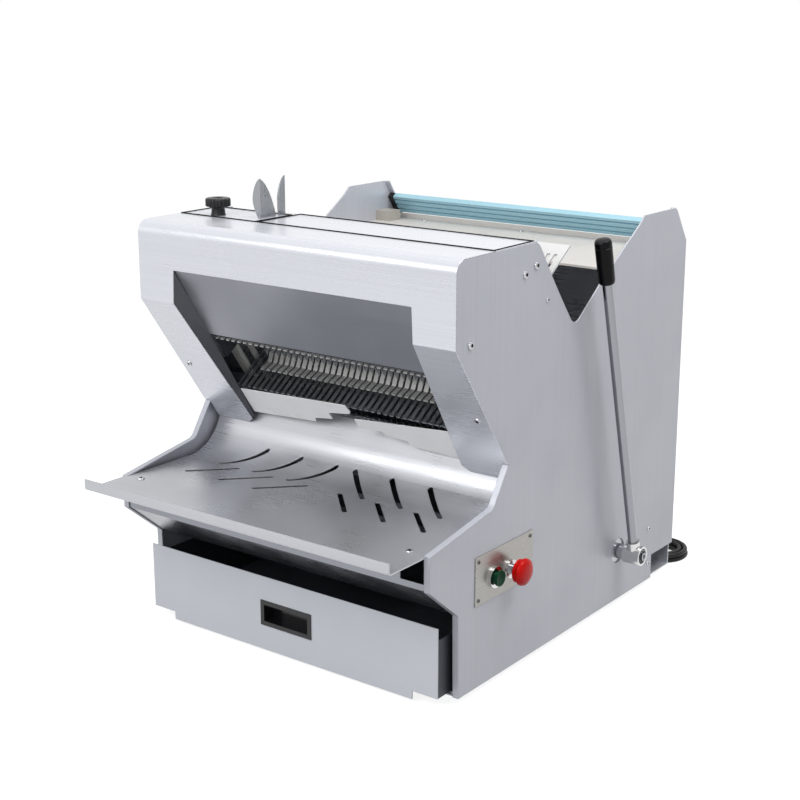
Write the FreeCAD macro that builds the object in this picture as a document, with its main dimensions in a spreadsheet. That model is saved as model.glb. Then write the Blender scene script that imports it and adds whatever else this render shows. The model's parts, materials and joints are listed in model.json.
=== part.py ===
import FreeCAD, Part
import math
import os
import re
import Sketcher
from FreeCAD import Placement, Rotation, Vector

# Driving dimensions, millimetres. X to the right, Y to the back, Z up.
# X is written from the middle of the body, Y from the front lower corner of the side panels and
# Z from their lower edge; the origin of the model is the middle of its footprint, on the floor.
SIZES = {
    # Body
    "width": 600, "depth": 656, "panel_sheet": 2.5, "flange": 10, "foot_flange": 25,
    "foot_height": 12, "foot_radius": 17, "foot_inset": 62, "stud_radius": 4, "gap": 0.3,
    "nose_y": -71, "nose_low": 185, "nose_high": 238, "apron_y": -2, "apron_low": 128,
    "shoulder_y": 83, "shoulder_z": 264, "waist_y": 121, "waist_z": 321,
    "brow_y": -13.5, "brow_z": 514, "panel_top": 635.5, "brow_round": 20, "shoulder_round": 14,
    "top_rear_y": 189, "top_chamfer_y": 231, "chamfer_drop": 59.5, "vee_front_y": 252,
    "vee_front_z": 548, "vee_y": 296, "vee_z": 492, "vee_round": 20, "corner_round": 12, "vee_rear_y": 369,
    "vee_rear_z": 546, "ramp_y": 489, "ramp_drop": 13.5, "rear_top_y": 505, "rear_slant": 42,
    "rear_setback": 2, "rear_drop": 58.5, "outlet_cut_depth": 76, "outlet_cut_height": 42,
    "base_sheet": 2, "rear_sheet": 1.5,
    # Hood and slice outlet, with their slope
    "hood_sheet": 1.2, "hood_front_y": -15, "hood_rise": 1.5, "hood_round": 21, "hood_back_y": 76,
    "leg_length": 272, "aperture_top": 565.6, "aperture_inset": 73.6, "leg_top_inset": 71.4,
    "leg_low_inset": 91, "leg_inner_low_z": 299, "leg_foot_inset": 78, "slope": 34.77,
    "funnel_sheet": 1.5, "funnel_low_y": 44, "funnel_low_z": 458.4, "funnel_inset": 90.2,
   "cheek_low_depth": 6, "cheek_low": 260, "stop_plate_offset": 10,
    "stop_plate_sheet": 1.5,
    # Tray and apron
    "tray_inset": 6, "tray_sheet": 2, "tray_front_y": -153, "tray_z": 238, "tray_lip": 254,
    "tray_bend": 79, "tray_corner_y": 122.5, "tray_end_y": 156, "tray_end_z": 328,
    "tray_slot_width": 8, "tray_slot_pitch": 72,
    "slot_a_x": 88.9, "slot_a_y": 6, "slot_b_x": 33.4, "slot_b_y": 63.3, "slot_c_x": 74, "slot_c_y": 67.5,
    "slot_d_x": 19, "slot_d_y": 119, "apron_inset": 11, "apron_sheet": 1.5,
    "apron_notch_width": 41, "apron_notch_height": 43, "tray_bar_y": 72, "tray_bar_width": 16,
    # Drawer
    "drawer_inset": 16, "drawer_front_y": -28.5, "drawer_low": -7, "drawer_top": 113.7,
    "drawer_corner_width": 45, "drawer_corner_z": 6, "drawer_sheet": 1.5, "drawer_length": 340,
    "drawer_wall_top": 96, "handle_half": 50.5, "handle_low": 34.3, "handle_top": 75.3,
    "handle_depth": 22, "handle_rim": 3, "slide_strip": 12,
    # Loaf channel
    "chute_level": -192.7, "chute_sheet": 2.5, "chute_inset": 89, "chute_front": 12,
    "chute_bend": 230, "chute_rear_y": 380, "chute_rear_z": 514, "chute_web": 8,
    "slot_width": 5.5, "pitch": 12, "channel_height": 97, "guide_front": 22,
    "guide_rear": 312, "guide_wide_front": 110, "guide_web": 22, "side_plate": 2, "side_plate_low": -138,
    "bar_width": 16, "bar_height": 8,
    "shelf_sheet": 2, "shelf_front_y": 400, "shelf_drop": 69.5, "shelf_setback": 16,
    "shelf_lip": 4, "shelf_back": 8, "rail_width": 37, "rail_thick": 10.5, "rail_cap": 12,
    "rail_setback": 38, "rail_drop": 29.5, "rail_groove": 3,
    # Blades
    "blade_width": 12, "blade_thick": 0.8, "blade_front": 70, "blade_top": 45,
    "blade_low": -290, "frame_bar": 12, "frame_inset": 84, "frame_gap": 0.5,
    "guide_inset": 71, "guide_depth": 11, "rod_radius": 7, "rod_length": 54, "rod_x": 40,
    # Drive
    "crank_half": 90, "crank_top": -340, "crank_low": -430, "crank_shaft_level": -385,
    "crank_shaft_radius": 10, "crank_pulley_radius": 60, "motor_pulley_radius": 30,
    "crank_front": 46, "crank_rear": 106, "pulley_x": 105, "pulley_width": 20, "belt_thick": 5,
    "beam_low": 130, "beam_high": 165, "strut_x": 150, "strut_width": 12, "motor_setback": 111,
    "motor_z": 195, "motor_radius": 55, "motor_half": 95, "stand_z": 135,
    "stand_sheet": 4, "stand_half": 110, "motor_shaft_radius": 7,
    # Pusher and lever
    "shaft_y": 460, "shaft_z": 86, "shaft_radius": 12.5, "running_gap": 0.05,
    "pusher_tilt": 39.1, "push_inner": 457, "push_outer": 478, "push_half_thick": 6,
    "arm_inset": 45, "arm_thick": 7, "arm_half_width": 9, "hub_radius": 21, "finger_width": 8,
    "finger_tip_y": -69.3, "finger_tip_z": 447, "finger_bend_y": -50, "finger_bend_z": 441.5,
    "finger_root_y": -14, "finger_sheet": 2.5, "bearing_radius": 32, "bearing_length": 14,
    "lever_reach": 30, "lever_radius": 7.75, "lever_tilt": 14.7, "lever_length": 486,
    "grip_length": 71, "grip_radius": 13, "lever_hub_radius": 16, "lever_hub_half": 15,
    "lever_screw_head": 3,
    # Controls
    "plate_front_y": 38, "plate_rear_y": 190, "plate_low": 128, "plate_high": 203,
    "plate_sheet": 1.5, "start_y": 87, "stop_y": 128, "button_z": 160, "start_radius": 12,
    "stop_radius": 20.5, "button_collar": 16, "button_stem": 8,
    # Top
    "lid_sheet": 1.5, "lid_front_y": 80, "lid_rear_y": 180, "lid_split_x": -138,
    "knob_x": -236, "knob_y": 98, "knob_radius": 20, "knob_disc": 13, "knob_stem_radius": 12,
    "leaf_x": -155, "leaf_front_y": 106, "leaf_rear_y": 164, "leaf_sheet": 1.2, "leaf_rise": 63.5,
    # Screws
    "screw_radius": 6, "screw_head": 3, "small_screw_radius": 4, "small_screw_head": 2,
    "leg_screw_inset": 18.3, "tray_screw_inset": 31, "shelf_screw_pitch": 212,
    # Cord
    "cord_radius": 4, "coil_x": 244, "coil_setback": 63, "coil_radius": 50, "coil_pitch": 10,
    "coil_turns": 2, "coil_layer": 9.2, "gland_x": 165, "gland_z": 28, "gland_length": 24,
    "plug_half": 15, "plug_length": 42,
}

# Sizes that follow the ones above
DERIVED = {
    "top_chamfer_z": "=panel_top - chamfer_drop", "ramp_z": "=panel_top - ramp_drop",
    "rear_drop_z": "=panel_top - rear_drop", "rear_drop_y": "=depth - rear_setback",
    "rear_end_y": "=depth - rear_slant", "hood_top": "=panel_top + hood_rise",
    "aperture_half": "=width / 2 - aperture_inset",
    "leg_inner_top": "=width / 2 - leg_top_inset", "leg_inner_low": "=width / 2 - leg_low_inset",
    "leg_foot_half": "=width / 2 - leg_foot_inset", "funnel_low_half": "=width / 2 - funnel_inset",
    "tray_half": "=width / 2 - tray_inset", "apron_half": "=width / 2 - apron_inset",
    "drawer_half": "=width / 2 - drawer_inset", "chute_half": "=width / 2 - chute_inset",
    "shelf_z": "=panel_top - shelf_drop", "shelf_rear_y": "=depth - shelf_setback",
    "rail_top_y": "=depth - rail_setback", "rail_top_z": "=panel_top - rail_drop",
    "frame_inner": "=width / 2 - frame_inset", "guide_inner": "=width / 2 - guide_inset",
    "crank_y": "=(crank_front + crank_rear) / 2", "motor_y": "=depth - motor_setback",
    "arm_inner": "=width / 2 - arm_inset", "lever_x": "=width / 2 + lever_reach",
    "leaf_top": "=panel_top + leaf_rise", "coil_y": "=depth + coil_setback",
    "rear_face_y": "=depth - 8 + rear_sheet",
}

doc = FreeCAD.newDocument("bread_slicer")
sheet = doc.addObject("Spreadsheet::Sheet", "dims")
NAMES = {**SIZES, **DERIVED}
for row, (alias, value) in enumerate(NAMES.items(), start=1):
    sheet.set(f"A{row}", alias)
    sheet.set(f"B{row}", str(value))
    sheet.setAlias(f"B{row}", alias)
doc.recompute()

WORD = re.compile(r"[a-z][a-z_]*")


def bound(text):
    """An expression on the sheet from a text that uses the names of the sizes."""
    return WORD.sub(lambda found: "dims." + found.group() if found.group() in NAMES else found.group(),
                    str(text))


def size(text):
    """The present value of such a text."""
    return float(sheet.evalExpression(bound(text)))


# Local frames: the whole machine, the sloping cutting frame and the pusher round its shaft.
MIDDLE_X = size("(lever_x + lever_hub_half + lever_screw_head - width / 2 - screw_head) / 2")
MIDDLE_Y = size("(rear_face_y + gland_length + tray_front_y - tray_sheet) / 2")
BODY = Placement(Vector(-MIDDLE_X, -MIDDLE_Y, size("foot_height")), Rotation())
X_AXIS = Vector(1, 0, 0)
Y_AXIS = Vector(0, 1, 0)
Z_AXIS = Vector(0, 0, 1)


def tilted(y, z, angle):
    return BODY * Placement(Vector(0, size(y), size(z)), Rotation(X_AXIS, size(angle)))


SLOPE = tilted("hood_front_y", "brow_z", "slope")
PUSHER = tilted("shaft_y", "shaft_z", "pusher_tilt")
OUTLINE_YZ = Rotation(Vector(1, 1, 1), 120)
OUTLINE_XZ = Rotation(X_AXIS, 90)
OUTLINE_XY = Rotation()
nodes = []


def slope_to_body(y, z):
    """A point of the sloping frame in the machine's own Y and Z."""
    point = BODY.inverse() * SLOPE * Vector(0, y, z)
    return point.y, point.z


def body_to_slope(y, z):
    point = SLOPE.inverse() * BODY * Vector(0, y, z)
    return point.y, point.z


def bind(item, values):
    for name, text in values.items():
        item.setExpression(name, bound(text))


def box(x, y, z, frame=BODY, turn=None):
    """A block between three pairs of bounds."""
    item = doc.addObject("Part::Box", "block")
    for name, (low, high) in zip(("Length", "Width", "Height"), (x, y, z)):
        bind(item, {name: f"({high}) - ({low})"})
    item.Placement = frame * Placement(Vector(size(x[0]), size(y[0]), size(z[0])), turn or Rotation())
    return item


def cylinder(radius, length, at, axis=X_AXIS, frame=BODY):
    """A round bar that starts at a point and runs along an axis."""
    item = doc.addObject("Part::Cylinder", "round")
    bind(item, {"Radius": radius, "Height": length})
    start = Vector(*(size(text) for text in at))
    item.Placement = frame * Placement(start, Rotation(Z_AXIS, axis))
    return item


def outline(points, rounds=None, closed=True):
    """A sketch through the points, with every coordinate bound to the sheet and rounded corners."""
    sketch = doc.addObject("Sketcher::SketchObject", "outline")
    spots = [Vector(size(a), size(b), 0) for a, b in points]
    count = len(points)
    lines = count if closed else count - 1
    for index in range(lines):
        sketch.addGeometry(Part.LineSegment(spots[index], spots[(index + 1) % count]), False)
    for index in range(lines if closed else lines - 1):
        sketch.addConstraint(Sketcher.Constraint("Coincident", index, 2, (index + 1) % lines, 1))
    for index, pair in enumerate(points):
        edge, end = (index, 1) if index < lines else (index - 1, 2)
        for kind, letter, text, value in (
            ("DistanceX", "x", pair[0], spots[index].x),
            ("DistanceY", "y", pair[1], spots[index].y),
        ):
            number = sketch.addConstraint(Sketcher.Constraint(kind, -1, 1, edge, end, value))
            sketch.renameConstraint(number, f"{letter}{index}")
            sketch.setExpression(f"Constraints.{letter}{index}", bound(text))
    for index, radius in (rounds or {}).items():
        before = (spots[index - 1] + spots[index]) * 0.5
        after = (spots[(index + 1) % count] + spots[index]) * 0.5
        sketch.fillet((index - 1) % lines, index, before, after, size(radius), True, True)
    return sketch


def prism(points, low, high, plane=OUTLINE_YZ, frame=BODY, rounds=None):
    """A flat outline with a thickness along the plane's normal."""
    sketch = outline(points, rounds)
    item = doc.addObject("Part::Extrusion", "prism")
    item.Base = sketch
    item.DirMode = "Normal"
    item.Solid = True
    bind(item, {"LengthFwd": f"({high}) - ({low})"})
    normal = plane.multVec(Z_AXIS)
    sketch.Placement = frame * Placement(normal * size(low), plane)
    return item


def bent_sheet(points, thickness, half, rounds=None, frame=BODY):
    """Sheet metal bent along an open profile, the same over its whole width."""
    sketch = outline(points, rounds, closed=False)
    sketch.Placement = frame * Placement(Vector(), OUTLINE_YZ)
    band = doc.addObject("Part::Offset2D", "band")
    band.Source = sketch
    band.Mode = "Skin"
    band.Join = "Intersection"
    band.Fill = True
    bind(band, {"Value": thickness})
    item = doc.addObject("Part::Extrusion", "sheet")
    item.Base = band
    item.DirMode = "Custom"
    item.Dir = X_AXIS
    item.Solid = True
    item.Symmetric = True
    bind(item, {"LengthFwd": f"2 * ({half})"})
    return item


def cut(base, tools):
    item = doc.addObject("Part::Cut", "cut")
    item.Base = base
    item.Tool = tools[0] if len(tools) == 1 else together(tools)
    return item


def together(pieces):
    """Pieces that stay separate solids in one object."""
    item = doc.addObject("Part::Compound", "group")
    item.Links = pieces
    return item


def fuse(pieces):
    item = doc.addObject("Part::MultiFuse", "fused")
    item.Shapes = pieces
    item.Refine = True
    return item


def turned(points, at, axis, frame=BODY):
    """A turned piece from half of its section, given as radius and height."""
    sketch = outline(points)
    sketch.Placement = frame * Placement(Vector(*(size(text) for text in at)),
                                         Rotation(Z_AXIS, axis) * Rotation(X_AXIS, 90))
    item = doc.addObject("Part::Revolution", "turned")
    item.Source = sketch
    item.Axis = sketch.Placement.Rotation.multVec(Y_AXIS)
    item.Base = sketch.Placement.Base
    item.Angle = 360
    item.Solid = True
    return item


def node(name, item):
    item.Label = name
    nodes.append(item)
    return item


def both_sides(build):
    """The same piece on the left and on the right."""
    return [build(side) for side in (-1, 1)]


def side_bounds(side, inner, outer):
    """Bounds along X of something between two distances from the middle."""
    if side > 0:
        return inner, outer
    return f"-({outer})", f"-({inner})"


# Side panels: folded pans with front, rear and foot flanges
PANEL = [
    ("0", "0"), ("apron_y", "apron_low"), ("nose_y", "nose_low"), ("nose_y", "nose_high"),
    ("shoulder_y", "shoulder_z"), ("waist_y", "waist_z"), ("brow_y", "brow_z"),
    ("brow_y", "panel_top"), ("top_rear_y", "panel_top"), ("top_chamfer_y", "top_chamfer_z"),
    ("vee_front_y", "vee_front_z"), ("vee_y", "vee_z"), ("vee_rear_y", "vee_rear_z"),
    ("ramp_y", "ramp_z"), ("rear_top_y", "panel_top"), ("rear_end_y", "panel_top"),
    ("rear_drop_y", "rear_drop_z"), ("depth", "0"),
]
PANEL_ROUNDS = {4: "shoulder_round", 7: "brow_round", 8: "brow_round", 11: "vee_round", 15: "corner_round"}


def side_panel(side):
    low, high = side_bounds(side, "width / 2 - panel_sheet", "width / 2")
    rim_low, rim_high = side_bounds(side, "width / 2 - flange", "width / 2 - panel_sheet")
    face = prism(PANEL, low, high, rounds=PANEL_ROUNDS)
    front_points = PANEL[:9]
    front = doc.addObject("Part::Offset2D", "front_band")
    front.Source = outline(front_points, {4: "shoulder_round", 7: "brow_round"}, closed=False)
    rear = doc.addObject("Part::Offset2D", "rear_band")
    rear.Source = outline(PANEL[15:], closed=False)
    rims = []
    for band in (front, rear):
        band.Mode = "Skin"
        band.Join = "Intersection"
        band.Fill = True
        bind(band, {"Value": "panel_sheet"})
        band.Source.Placement = BODY * Placement(X_AXIS * size(rim_low), OUTLINE_YZ)
        rim = doc.addObject("Part::Extrusion", "rim")
        rim.Base = band
        rim.DirMode = "Custom"
        rim.Dir = X_AXIS
        rim.Solid = True
        bind(rim, {"LengthFwd": f"({rim_high}) - ({rim_low})"})
        rims.append(rim)
    foot_low, foot_high = side_bounds(side, "width / 2 - foot_flange", "width / 2 - panel_sheet")
    foot = box((foot_low, foot_high), ("panel_sheet", "depth - panel_sheet"), ("0", "panel_sheet"))
    hole_low, _ = side_bounds(side, "width / 2 - flange", "width / 2")
    bore = cylinder("hub_radius", "flange + 2", (f"{hole_low} - 1", "shaft_y", "shaft_z"))
    cuts = [bore]
    if side > 0:
        cuts.append(box(("width / 2 - foot_flange - 1", "width / 2 + 1"),
                        ("depth - outlet_cut_depth", "depth + 1"), ("-1", "outlet_cut_height")))
        for centre in ("start_y", "stop_y"):
            cuts.append(cylinder("button_collar / 2 + 3", "flange + 2",
                                 ("width / 2 - flange - 1", centre, "button_z")))
    return cut(fuse([face, foot] + rims), cuts)


for name, panel in zip(("left", "right"), both_sides(side_panel)):
    node(f"side_panel_{name}", panel)

# Base, rear cover and feet
INSIDE = "width / 2 - panel_sheet"
FLOOR = "panel_sheet + base_sheet"
FOOT_SPOTS = [(x, y) for x in ("-(width / 2 - foot_inset)", "width / 2 - foot_inset")
              for y in ("foot_inset", "depth - foot_inset - 30")]
base_blank = box((f"-({INSIDE})", INSIDE), ("6", "rear_face_y"), ("panel_sheet", FLOOR))
drawer_strips = [box((x, f"{x} + slide_strip"), ("12", "drawer_front_y + drawer_length"),
                     ("panel_sheet", "drawer_corner_z - gap")) for x in ("-220", "208")]
node("base_plate", cut(fuse([base_blank] + drawer_strips),
                       [cylinder("stud_radius + running_gap", "10", (x, y, "0"), Z_AXIS) for x,
                        y in FOOT_SPOTS]))
node("rear_cover", box((f"-({INSIDE})", INSIDE), ("rear_face_y - rear_sheet", "rear_face_y"),
                       (FLOOR, "shelf_z - 20")))


def foot(x, y):
    pad = turned([("0", "-foot_height"), ("foot_radius - 3", "-foot_height"), ("foot_radius", "0"),
                  ("0", "0")],
                 (x, y, "0"), Z_AXIS)
    stud = cylinder("stud_radius", FLOOR, (x, y, "0"), Z_AXIS)
    return fuse([pad, stud])


node("rubber_feet", together([foot(x, y) for x, y in FOOT_SPOTS]))


def text_of(value):
    return f"{value:.4f}"


def slope_point(y, z):
    """A point of the sloping frame as two texts in the machine's own Y and Z."""
    spot = slope_to_body(size(y), size(z))
    return text_of(spot[0]), text_of(spot[1])


# Hood: one folded sheet, with the slice outlet cut through its front and between its legs
hood_blank = bent_sheet(
    [("hood_back_y", "hood_top"), ("hood_front_y", "hood_top"), ("hood_front_y", "brow_z"),
     slope_point("0", "-leg_length")],
    "-hood_sheet", "width / 2", {1: "hood_round"})
outlet = [("aperture_half", "aperture_top"), ("leg_inner_top", "brow_z"),
          ("leg_inner_low", "leg_inner_low_z"), ("leg_foot_half", "leg_inner_low_z - 9"),
          ("leg_foot_half", "leg_inner_low_z - 40")]
outlet_outline = outlet + [(f"-({x})", z) for x, z in reversed(outlet)]
waist_level = text_of(body_to_slope(size("waist_y"), size("waist_z"))[1] + 2)
leg_trims = [box(side_bounds(side, "width / 2 - flange - gap", "width / 2 + 5"), ("-20", "20"),
                 ("-leg_length - 20", waist_level), SLOPE) for side in (-1, 1)]
node("front_hood", cut(hood_blank, [prism(outlet_outline, "-200", "60", OUTLINE_XZ)] + leg_trims))

# Funnel behind the outlet
FUNNEL_TOP_Y = "hood_front_y + hood_sheet + gap"
funnel_blank = bent_sheet([(FUNNEL_TOP_Y, "aperture_top + 9"), (FUNNEL_TOP_Y, "aperture_top + 1"),
                           ("funnel_low_y", "funnel_low_z")], "-funnel_sheet", "aperture_half")
funnel_wedge = [("aperture_half + 1", "aperture_top + 9"), ("aperture_half + 40", "aperture_top + 9"),
                ("aperture_half + 40", "funnel_low_z - 9"), ("funnel_low_half", "funnel_low_z - 9")]
node("upper_funnel_plate", cut(funnel_blank, [
    prism(funnel_wedge, "-90", "60", OUTLINE_XZ),
    prism([(f"-({x})", z) for x, z in funnel_wedge], "-90", "60", OUTLINE_XZ)]))


def plate(points, side):
    """A flat sheet through three or four points of the sloping frame, thick away from the middle."""
    spots = [Vector(side * x, y, z) for x, y, z in points]
    normal = (spots[1] - spots[0]).cross(spots[2] - spots[0]).normalize()
    if normal.x * side < 0:
        normal = normal * -1
    item = doc.addObject("Part::Feature", "plate")
    item.Shape = Part.Face(Part.makePolygon(spots + spots[:1])).extrude(normal * size("funnel_sheet"))
    item.Placement = SLOPE
    return item


def funnel_cheek(side):
    """The slanting cheek behind a leg, with the corner piece that closes it to the funnel plate."""
    shift = size("4 * gap")
    front = size("hood_sheet + gap")
    top = Vector(size("leg_inner_top") + shift, front, -size("2 * gap"))
    low = Vector(size("leg_inner_low") + shift, front, -size("cheek_low"))
    back_y, back_z = body_to_slope(size("funnel_low_y"), size("funnel_low_z"))
    back = Vector(size("funnel_low_half") + shift, back_y, back_z)
    normal = (low - top).cross(back - top)
    low_y = size("cheek_low_depth")
    low_x = top.x - (normal.y * (low_y - top.y) + normal.z * (low.z - top.z)) / normal.x
    corner_y, corner_z = body_to_slope(size("hood_front_y + hood_sheet + gap"), size("aperture_top"))
    corner = Vector(size("aperture_half") + shift, corner_y, corner_z)
    return fuse([plate([top, low, Vector(low_x, low_y, low.z), back], side),
                 plate([corner, top, back], side)])


node("funnel_cheeks", together(both_sides(funnel_cheek)))

# Stepped slice stops under the outlet, in a plane behind the legs
STOPS = {
    "left": [(-207, -199), (15, -187), (19, -200), (15, -206), (-30, -214), (-29, -228), (-68, -235),
             (-70, -244),
             (-207, -254)],
    "right": [(20, -217), (207, -199), (207, -259), (113, -255), (110, -245), (70, -241), (66, -234),
              (20, -236)],
}
STOP_SHARE = size("leg_inner_low") / 209
node("slice_stops", together([
    prism([(x * STOP_SHARE, z) for x, z in points], "-stop_plate_offset - stop_plate_sheet",
          "-stop_plate_offset", OUTLINE_XZ, SLOPE)
    for points in STOPS.values()]))

# Tray with its slots, and the bar that carries it
tray_blank = bent_sheet(
    [("tray_front_y", "tray_lip"), ("tray_front_y", "tray_z"), ("tray_corner_y", "tray_z"),
     ("tray_end_y", "tray_end_z")], "tray_sheet", "tray_half", {1: "3", 2: "tray_bend"})


def tray_slot(front, rear):
    """A slot with round ends, cut down through the sheet."""
    run = Vector(*front, 0) - Vector(*rear, 0)
    way = Rotation(X_AXIS, run)
    low = size("tray_z - 40")
    middle = box(("0", text_of(run.Length)), ("-tray_slot_width / 2", "tray_slot_width / 2"),
                 ("tray_z - 40", "tray_end_z + 30"))
    middle.Placement = BODY * Placement(Vector(*rear, low), way) * Placement(
        Vector(0, -size("tray_slot_width / 2"), 0), Rotation())
    ends = [cylinder("tray_slot_width / 2", "tray_end_z - tray_z + 70",
                     (text_of(x), text_of(y), text_of(low)), Z_AXIS)
            for x, y in (front, rear)]
    return fuse([middle] + ends)


tray_cuts = []
for side in (-1, 1):
    for step in range(3):
        shift = step * size("tray_slot_pitch")
        for front, rear in (("slot_a", "slot_b"), ("slot_c", "slot_d")):
            tray_cuts.append(tray_slot(*((side * (size(f"{spot}_x") + shift), size(f"{spot}_y"))
                                         for spot in (front, rear))))
for side in (-1, 1):
    low, high = side_bounds(side, "width / 2 - flange - gap", "tray_half + 5")
    tray_cuts.append(box((low, high), ("nose_y - gap", "tray_end_y + 20"),
                         ("tray_z - 20", "tray_end_z + 20")))
node("out_tray", cut(tray_blank, tray_cuts))
UNDER_TRAY = "tray_z - tray_sheet"
node("tray_bar", box((f"-({INSIDE})", INSIDE), ("tray_bar_y", "tray_bar_y + tray_bar_width"),
                     (f"{UNDER_TRAY} - 20", f"{UNDER_TRAY}")))
apron_blank = bent_sheet([("nose_y + 2", "tray_z - tray_sheet - gap"), ("nose_y + 2", "nose_low + 1"),
                          ("apron_y + 1", "apron_low + 1")], "-apron_sheet", "apron_half", {1: "3"})
notches = []
for side in (-1, 1):
    low, high = side_bounds(side, "apron_half - apron_notch_width", "apron_half + 2")
    notches.append(box((low, high), ("nose_y - 5", "nose_y + 12"),
                       ("tray_z - apron_notch_height", "tray_z + 2")))
node("apron_plate", cut(apron_blank, notches))

# Crumb drawer
DRAWER_BACK = "drawer_front_y + drawer_sheet"
front_outline = [("drawer_half", "drawer_top"), ("drawer_half", "drawer_corner_z"),
                 ("drawer_half - drawer_corner_width", "drawer_corner_z"),
                 ("drawer_half - drawer_corner_width", "drawer_low")]
front_outline = front_outline + [(f"-({x})", z) for x, z in reversed(front_outline)]
drawer_face = prism(front_outline, f"-({DRAWER_BACK})", "-drawer_front_y", OUTLINE_XZ)
HANDLE_HOLE = (("-handle_half + handle_rim", "handle_half - handle_rim"),
               ("drawer_front_y - 9", "drawer_front_y + 20"),
               ("handle_low + handle_rim", "handle_top - handle_rim"))
node("drawer_front", cut(drawer_face, [box(*HANDLE_HOLE)]))
DRAWER_END = f"{DRAWER_BACK} + drawer_length"
shell = box(("-drawer_half + gap", "drawer_half - gap"), (DRAWER_BACK, DRAWER_END),
            ("drawer_corner_z", "drawer_wall_top"))
hollow = box(("-drawer_half + gap + drawer_sheet", "drawer_half - gap - drawer_sheet"),
             (f"{DRAWER_BACK} + drawer_sheet", f"{DRAWER_END} - drawer_sheet"),
             ("drawer_corner_z + drawer_sheet", "drawer_wall_top + 1"))
handle_gap = box(("-handle_half - 1", "handle_half + 1"), ("drawer_front_y", "0"),
                 ("handle_low - 1", "handle_top + 1"))
node("drawer_box", cut(shell, [hollow, handle_gap]))
bezel = box(("-handle_half", "handle_half"), ("drawer_front_y - 1.5", "drawer_front_y"),
            ("handle_low", "handle_top"))
cup = box(("-handle_half + handle_rim + gap", "handle_half - handle_rim - gap"),
          ("drawer_front_y - 0.5", "drawer_front_y + handle_depth"),
          ("handle_low + handle_rim + gap", "handle_top - handle_rim - gap"))
pull = box(("-handle_half + 7", "handle_half - 7"), ("drawer_front_y - 3",
                                                     "drawer_front_y + handle_depth - 2"),
           ("handle_low + 7", "handle_top - 7"))
node("drawer_handle", cut(fuse([bezel, cup]), [pull]))


# Loaf chute and upper guide: slotted combs on both sides of the loaf
SLOTS = int(size("2 * chute_half / pitch"))
BLADES = SLOTS - 4
FINGERS = BLADES - 1


def comb(count, front, web, level):
    """Slots open at the front for the blades, as far as the web at the rear."""
    spots = [index - (count - 1) / 2 for index in range(count)]
    return together([box((f"pitch * {spot} - slot_width / 2", f"pitch * {spot} + slot_width / 2"),
                         (f"{front} - 1", web), (f"{level} - 9", f"{level} + 9"), SLOPE) for spot in spots])


chute_rear = [text_of(value) for value in body_to_slope(size("chute_rear_y"), size("chute_rear_z"))]
chute_blank = bent_sheet([("chute_front", "chute_level"), ("chute_bend", "chute_level"), tuple(chute_rear)],
                         "-chute_sheet", "chute_half", frame=SLOPE)
node("chute_comb", cut(chute_blank, [comb(SLOTS, "chute_front", "chute_bend - chute_web", "chute_level")]))
WIDE_SLOTS = SLOTS + 2 * int(size("(chute_inset - flange - 1) / pitch"))
GUIDE_LEVEL = ("chute_level + channel_height", "chute_level + channel_height + chute_sheet")
guide_blank = fuse([
    box(("-chute_half", "chute_half"), ("guide_front", "guide_rear"), GUIDE_LEVEL, SLOPE),
    box(("-(width / 2 - flange - 2 * gap)", "width / 2 - flange - 2 * gap"),
        ("guide_wide_front", "guide_rear"),
        GUIDE_LEVEL, SLOPE)])
node("upper_guide_comb", cut(guide_blank, [comb(WIDE_SLOTS, "guide_front", "guide_rear - guide_web",
                                                GUIDE_LEVEL[0])]))


CHUTE_UNDER = "chute_level - chute_sheet"
GUIDE_OVER = "chute_level + channel_height + chute_sheet"


def channel_side(side):
    low, high = side_bounds(side, "chute_half + gap", "chute_half + gap + side_plate")
    return box((low, high), ("guide_front", "guide_rear"), ("side_plate_low", GUIDE_LEVEL[0]), SLOPE)


node("channel_sides", together(both_sides(channel_side)))
REAR_BAR_Y = "chute_bend - 26"
node("comb_bars", together([
    box((f"-({half})", half), (y, f"{y} + bar_width"), (z, f"{z} + bar_height"), SLOPE)
    for half, y, z in ((INSIDE, "chute_front + 10", f"{CHUTE_UNDER} - bar_height"),
                       ("chute_half", REAR_BAR_Y, f"{CHUTE_UNDER} - bar_height"),
                       (INSIDE, "guide_front + 4", GUIDE_OVER), (INSIDE, "guide_rear - 150", GUIDE_OVER))]))

# Rear shelf, rail and its ends
shelf_points = [("shelf_front_y - 1", "shelf_z - shelf_lip"), ("shelf_front_y", "shelf_z"),
                ("shelf_rear_y", "shelf_z"), ("shelf_rear_y", "shelf_z + shelf_back")]
node("rear_shelf", bent_sheet(shelf_points, "shelf_sheet", INSIDE, {1: "2"}))
RAIL = tilted("rail_top_y", "rail_top_z", text_of(math.degrees(math.atan2(
    size("rear_drop_y - rear_end_y"), size("panel_top - rear_drop_z")))))
rail_bar = box(("-(width / 2 - panel_sheet - rail_cap)", "width / 2 - panel_sheet - rail_cap"),
               ("0", "rail_thick"), ("-rail_width", "0"), RAIL)
grooves = [box(("-(width / 2)", "width / 2"), ("-1", "rail_groove"), (z, f"{z} + 3"), RAIL)
           for z in ("-rail_width + 6", "-rail_width / 2 - 1.5", "-9")]
node("rear_rail", cut(rail_bar, grooves))


def rail_end(side):
    low, high = side_bounds(side, "width / 2 - panel_sheet - rail_cap", "width / 2 - panel_sheet")
    cap = box((low, high), ("0", "rail_thick"), ("-rail_width", "0"), RAIL)
    low, high = side_bounds(side, "width / 2 - panel_sheet - 32", "width / 2 - panel_sheet")
    block = box((low, high), ("shelf_rear_y - 58", "shelf_rear_y - 26"), ("shelf_z", "shelf_z + 18"))
    return together([cap, block])


node("rail_ends", together(both_sides(rail_end)))

# Blade frames with their blades and push rods
FRAME_HALF = "frame_inner + frame_bar"


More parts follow.
